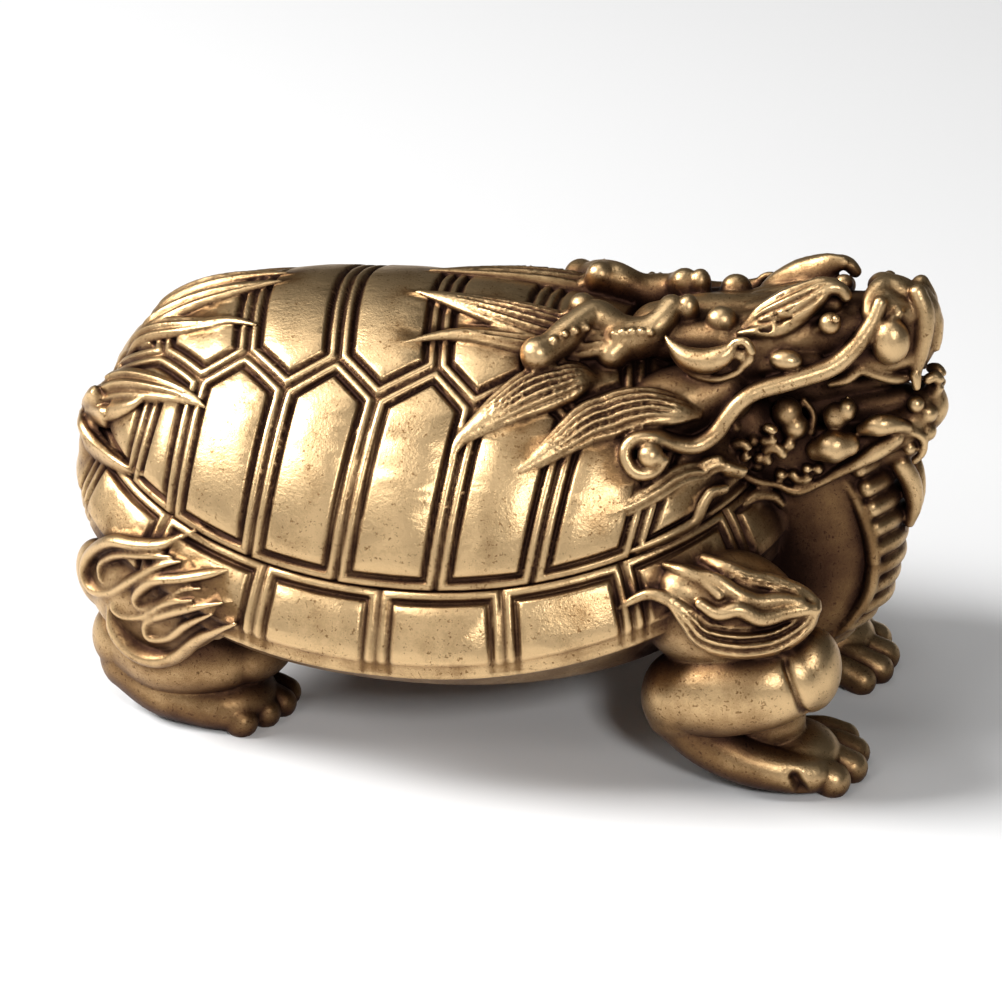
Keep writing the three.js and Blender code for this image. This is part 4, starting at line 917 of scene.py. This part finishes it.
def makeBrass():
    material = bpy.data.materials.new("agedBrass")
    material.use_nodes = True
    nodes, links = material.node_tree.nodes, material.node_tree.links
    shader = nodes["Principled BSDF"]
    shader.inputs["Metallic"].default_value = 1.0  # metal all over

    def node(kind, **settings):
        made = nodes.new(kind)
        for name, value in settings.items():
            if hasattr(made, name):
                setattr(made, name, value)
            else:
                made.inputs[name].default_value = value
        return made

    def maths(one, other, kind="ADD", clamp=False):
        made = node("ShaderNodeMath", operation=kind, use_clamp=clamp)
        for socket, value in zip(made.inputs, (one, other)):
            if isinstance(value, (int, float)):
                socket.default_value = value
            else:
                links.new(value, socket)
        return made.outputs[0]

    coordinates = node("ShaderNodeTexCoord").outputs["Object"]

    def cloud(scale, detail, roughness):
        made = node("ShaderNodeTexNoise", Scale=scale, Detail=detail, Roughness=roughness)
        links.new(coordinates, made.inputs["Vector"])
        return made.outputs["Fac"]

    def offCentre(value, centre=brass["neutral"]):
        return maths(value, centre, "SUBTRACT")

    felt = [node("ShaderNodeAmbientOcclusion", samples=brass["hollowSamples"], Distance=reach).outputs["AO"]
            for reach in brass["hollows"]]
    edge = node("ShaderNodeAttribute", attribute_name="standingOut").outputs["Fac"]
    paintedShadeAndHighlight = node("ShaderNodeAttribute", attribute_name="paintedShadeAndHighlight").outputs["Fac"]
    mottle, specks = cloud(*brass["mottleNoise"]), cloud(*brass["speckNoise"])

    # open ground is near 0.75, hollows with their patina and painted shade fall to 0, and edges rise to 1
    # the widest reach is painted shade under overhanging parts, the two finer ones are patina in the hollows
    near, middle, far = [maths(value, weight, "POWER") for value, weight in zip(felt, brass["hollowWeights"])]
    wearAndPaintedLight = maths(maths(near, middle, "MULTIPLY"), far, "MULTIPLY")
    wearAndPaintedLight = maths(wearAndPaintedLight, maths(offCentre(edge), brass["edgeGlint"], "MULTIPLY"))
    wearAndPaintedLight = maths(wearAndPaintedLight, maths(offCentre(mottle, brass["mottleMiddle"]), brass["mottle"], "MULTIPLY"))
    grain = maths(offCentre(specks), brass["grain"], "MULTIPLY")
    sunk = maths(offCentre(specks, brass["specksFrom"]), brass["specksSharpness"], "MULTIPLY", clamp=True)
    wearAndPaintedLight = maths(maths(wearAndPaintedLight, grain), maths(sunk, -brass["specks"], "MULTIPLY"))
    # the painted shade and painted highlights are added to the colour here
    wearAndPaintedLight = maths(wearAndPaintedLight, offCentre(paintedShadeAndHighlight))
    wearAndPaintedLight = maths(wearAndPaintedLight, brass["rubbing"], "MULTIPLY", clamp=True)
    ramp = node("ShaderNodeValToRGB")
    colours = [brass[name] for name in ("black", "brown", "russet", "gold", "rubbed")]
    while len(ramp.color_ramp.elements) < len(colours):
        ramp.color_ramp.elements.new(0.5)
    for element, position, colour in zip(ramp.color_ramp.elements, brass["stops"], colours):
        element.position, element.color = position, colour
    links.new(wearAndPaintedLight, ramp.inputs["Fac"])
    links.new(ramp.outputs["Color"], shader.inputs["Base Color"])

    gloss = node("ShaderNodeMapRange")
    gloss.inputs["To Min"].default_value, gloss.inputs["To Max"].default_value = brass["roughness"]
    links.new(wearAndPaintedLight, gloss.inputs["Value"])
    links.new(gloss.outputs["Result"], shader.inputs["Roughness"])

    dents = node("ShaderNodeBump", Strength=brass["dents"], Distance=brass["dentDepth"])
    links.new(cloud(*brass["dentNoise"]), dents.inputs["Height"])
    pits = node("ShaderNodeBump", Strength=brass["pits"], Distance=brass["pitDepth"])
    links.new(cloud(*brass["pitNoise"]), pits.inputs["Height"])
    links.new(dents.outputs["Normal"], pits.inputs["Normal"])
    links.new(pits.outputs["Normal"], shader.inputs["Normal"])
    return material


markEdges(figure)
figure.data.materials.clear()
figure.data.materials.append(makeBrass())
print("brass made")


# a pale floor, soft lights and the camera

studio = {
    "floorSize": 3, "floorColour": (0.86, 0.86, 0.86, 1), "floorRoughness": 0.9,
    "worldColour": (1, 1, 1, 1), "worldStrength": 0.05,
    # place, the point it is turned to, size and watts
    "lights": {
        "keyLight": ((-0.34, -0.09, 0.31), (0, 0, 0.012), (0.17, 0.17), 2.9),
        "topLight": ((-0.10, -0.02, 0.50), (0, 0, 0.012), (0.30, 0.22), 0.4),
        "frontLight": ((-0.20, -0.34, 0.34), (0, 0, 0.012), (0.14, 0.10), 0.25),
        "sideLight": ((0.20, -0.36, 0.28), (0, 0, 0.012), (0.08, 0.08), 0.85),
        "lowLight": ((-0.12, -0.46, 0.12), (0, 0, 0.008), (0.10, 0.06), 0.1),
    },
}


def makeFloor():
    deselectAll()
    bpy.ops.mesh.primitive_plane_add(size=studio["floorSize"], location=(0, 0, 0))
    floor = bpy.context.object
    floor.name = "floor"
    material = bpy.data.materials.new("paleFloor")
    material.use_nodes = True
    shader = material.node_tree.nodes["Principled BSDF"]
    shader.inputs["Base Color"].default_value = studio["floorColour"]
    shader.inputs["Roughness"].default_value = studio["floorRoughness"]
    floor.data.materials.append(material)


def makeLight(name, place, target, size, watts):
    deselectAll()
    bpy.ops.object.light_add(type="AREA", location=place)
    light = bpy.context.object
    light.name = name
    light.data.shape = "RECTANGLE"
    light.data.size, light.data.size_y = size
    light.data.energy = watts
    light.rotation_euler = (Vector(target) - Vector(place)).to_track_quat("-Z", "Y").to_euler()


def makeWorld():
    world = bpy.data.worlds.new("studio")
    world.use_nodes = True
    background = world.node_tree.nodes["Background"]
    background.inputs["Color"].default_value = studio["worldColour"]
    background.inputs["Strength"].default_value = studio["worldStrength"]
    bpy.context.scene.world = world
    bpy.context.scene.view_settings.view_transform = "Standard"


view = {
    "azimuth": 13.0, "elevation": 26.0,  # degrees, round from its right-hand side and up
    "frame": 0.0585,  # metres across the picture at the target
    "target": (-0.00063, 0, 0.0118),
    "lens": 135.0, "sensor": 36.0,
    "clipStart": 0.01,
}


def makeCamera():
    turn, lift = math.radians(view["azimuth"]), math.radians(view["elevation"])
    back = Vector((math.sin(turn) * math.cos(lift), -math.cos(turn) * math.cos(lift), math.sin(lift)))
    distance = view["frame"] * view["lens"] / view["sensor"]
    deselectAll()
    bpy.ops.object.camera_add(location=Vector(view["target"]) + back * distance)
    camera = bpy.context.object
    camera.name = "camera"
    camera.rotation_euler = (-back).to_track_quat("-Z", "Y").to_euler()
    camera.data.lens = view["lens"]
    camera.data.sensor_width = view["sensor"]
    camera.data.clip_start = view["clipStart"]
    bpy.context.scene.camera = camera


makeFloor()
for name, values in studio["lights"].items():
    makeLight(name, *values)
makeCamera()
makeWorld()
print("stage set")
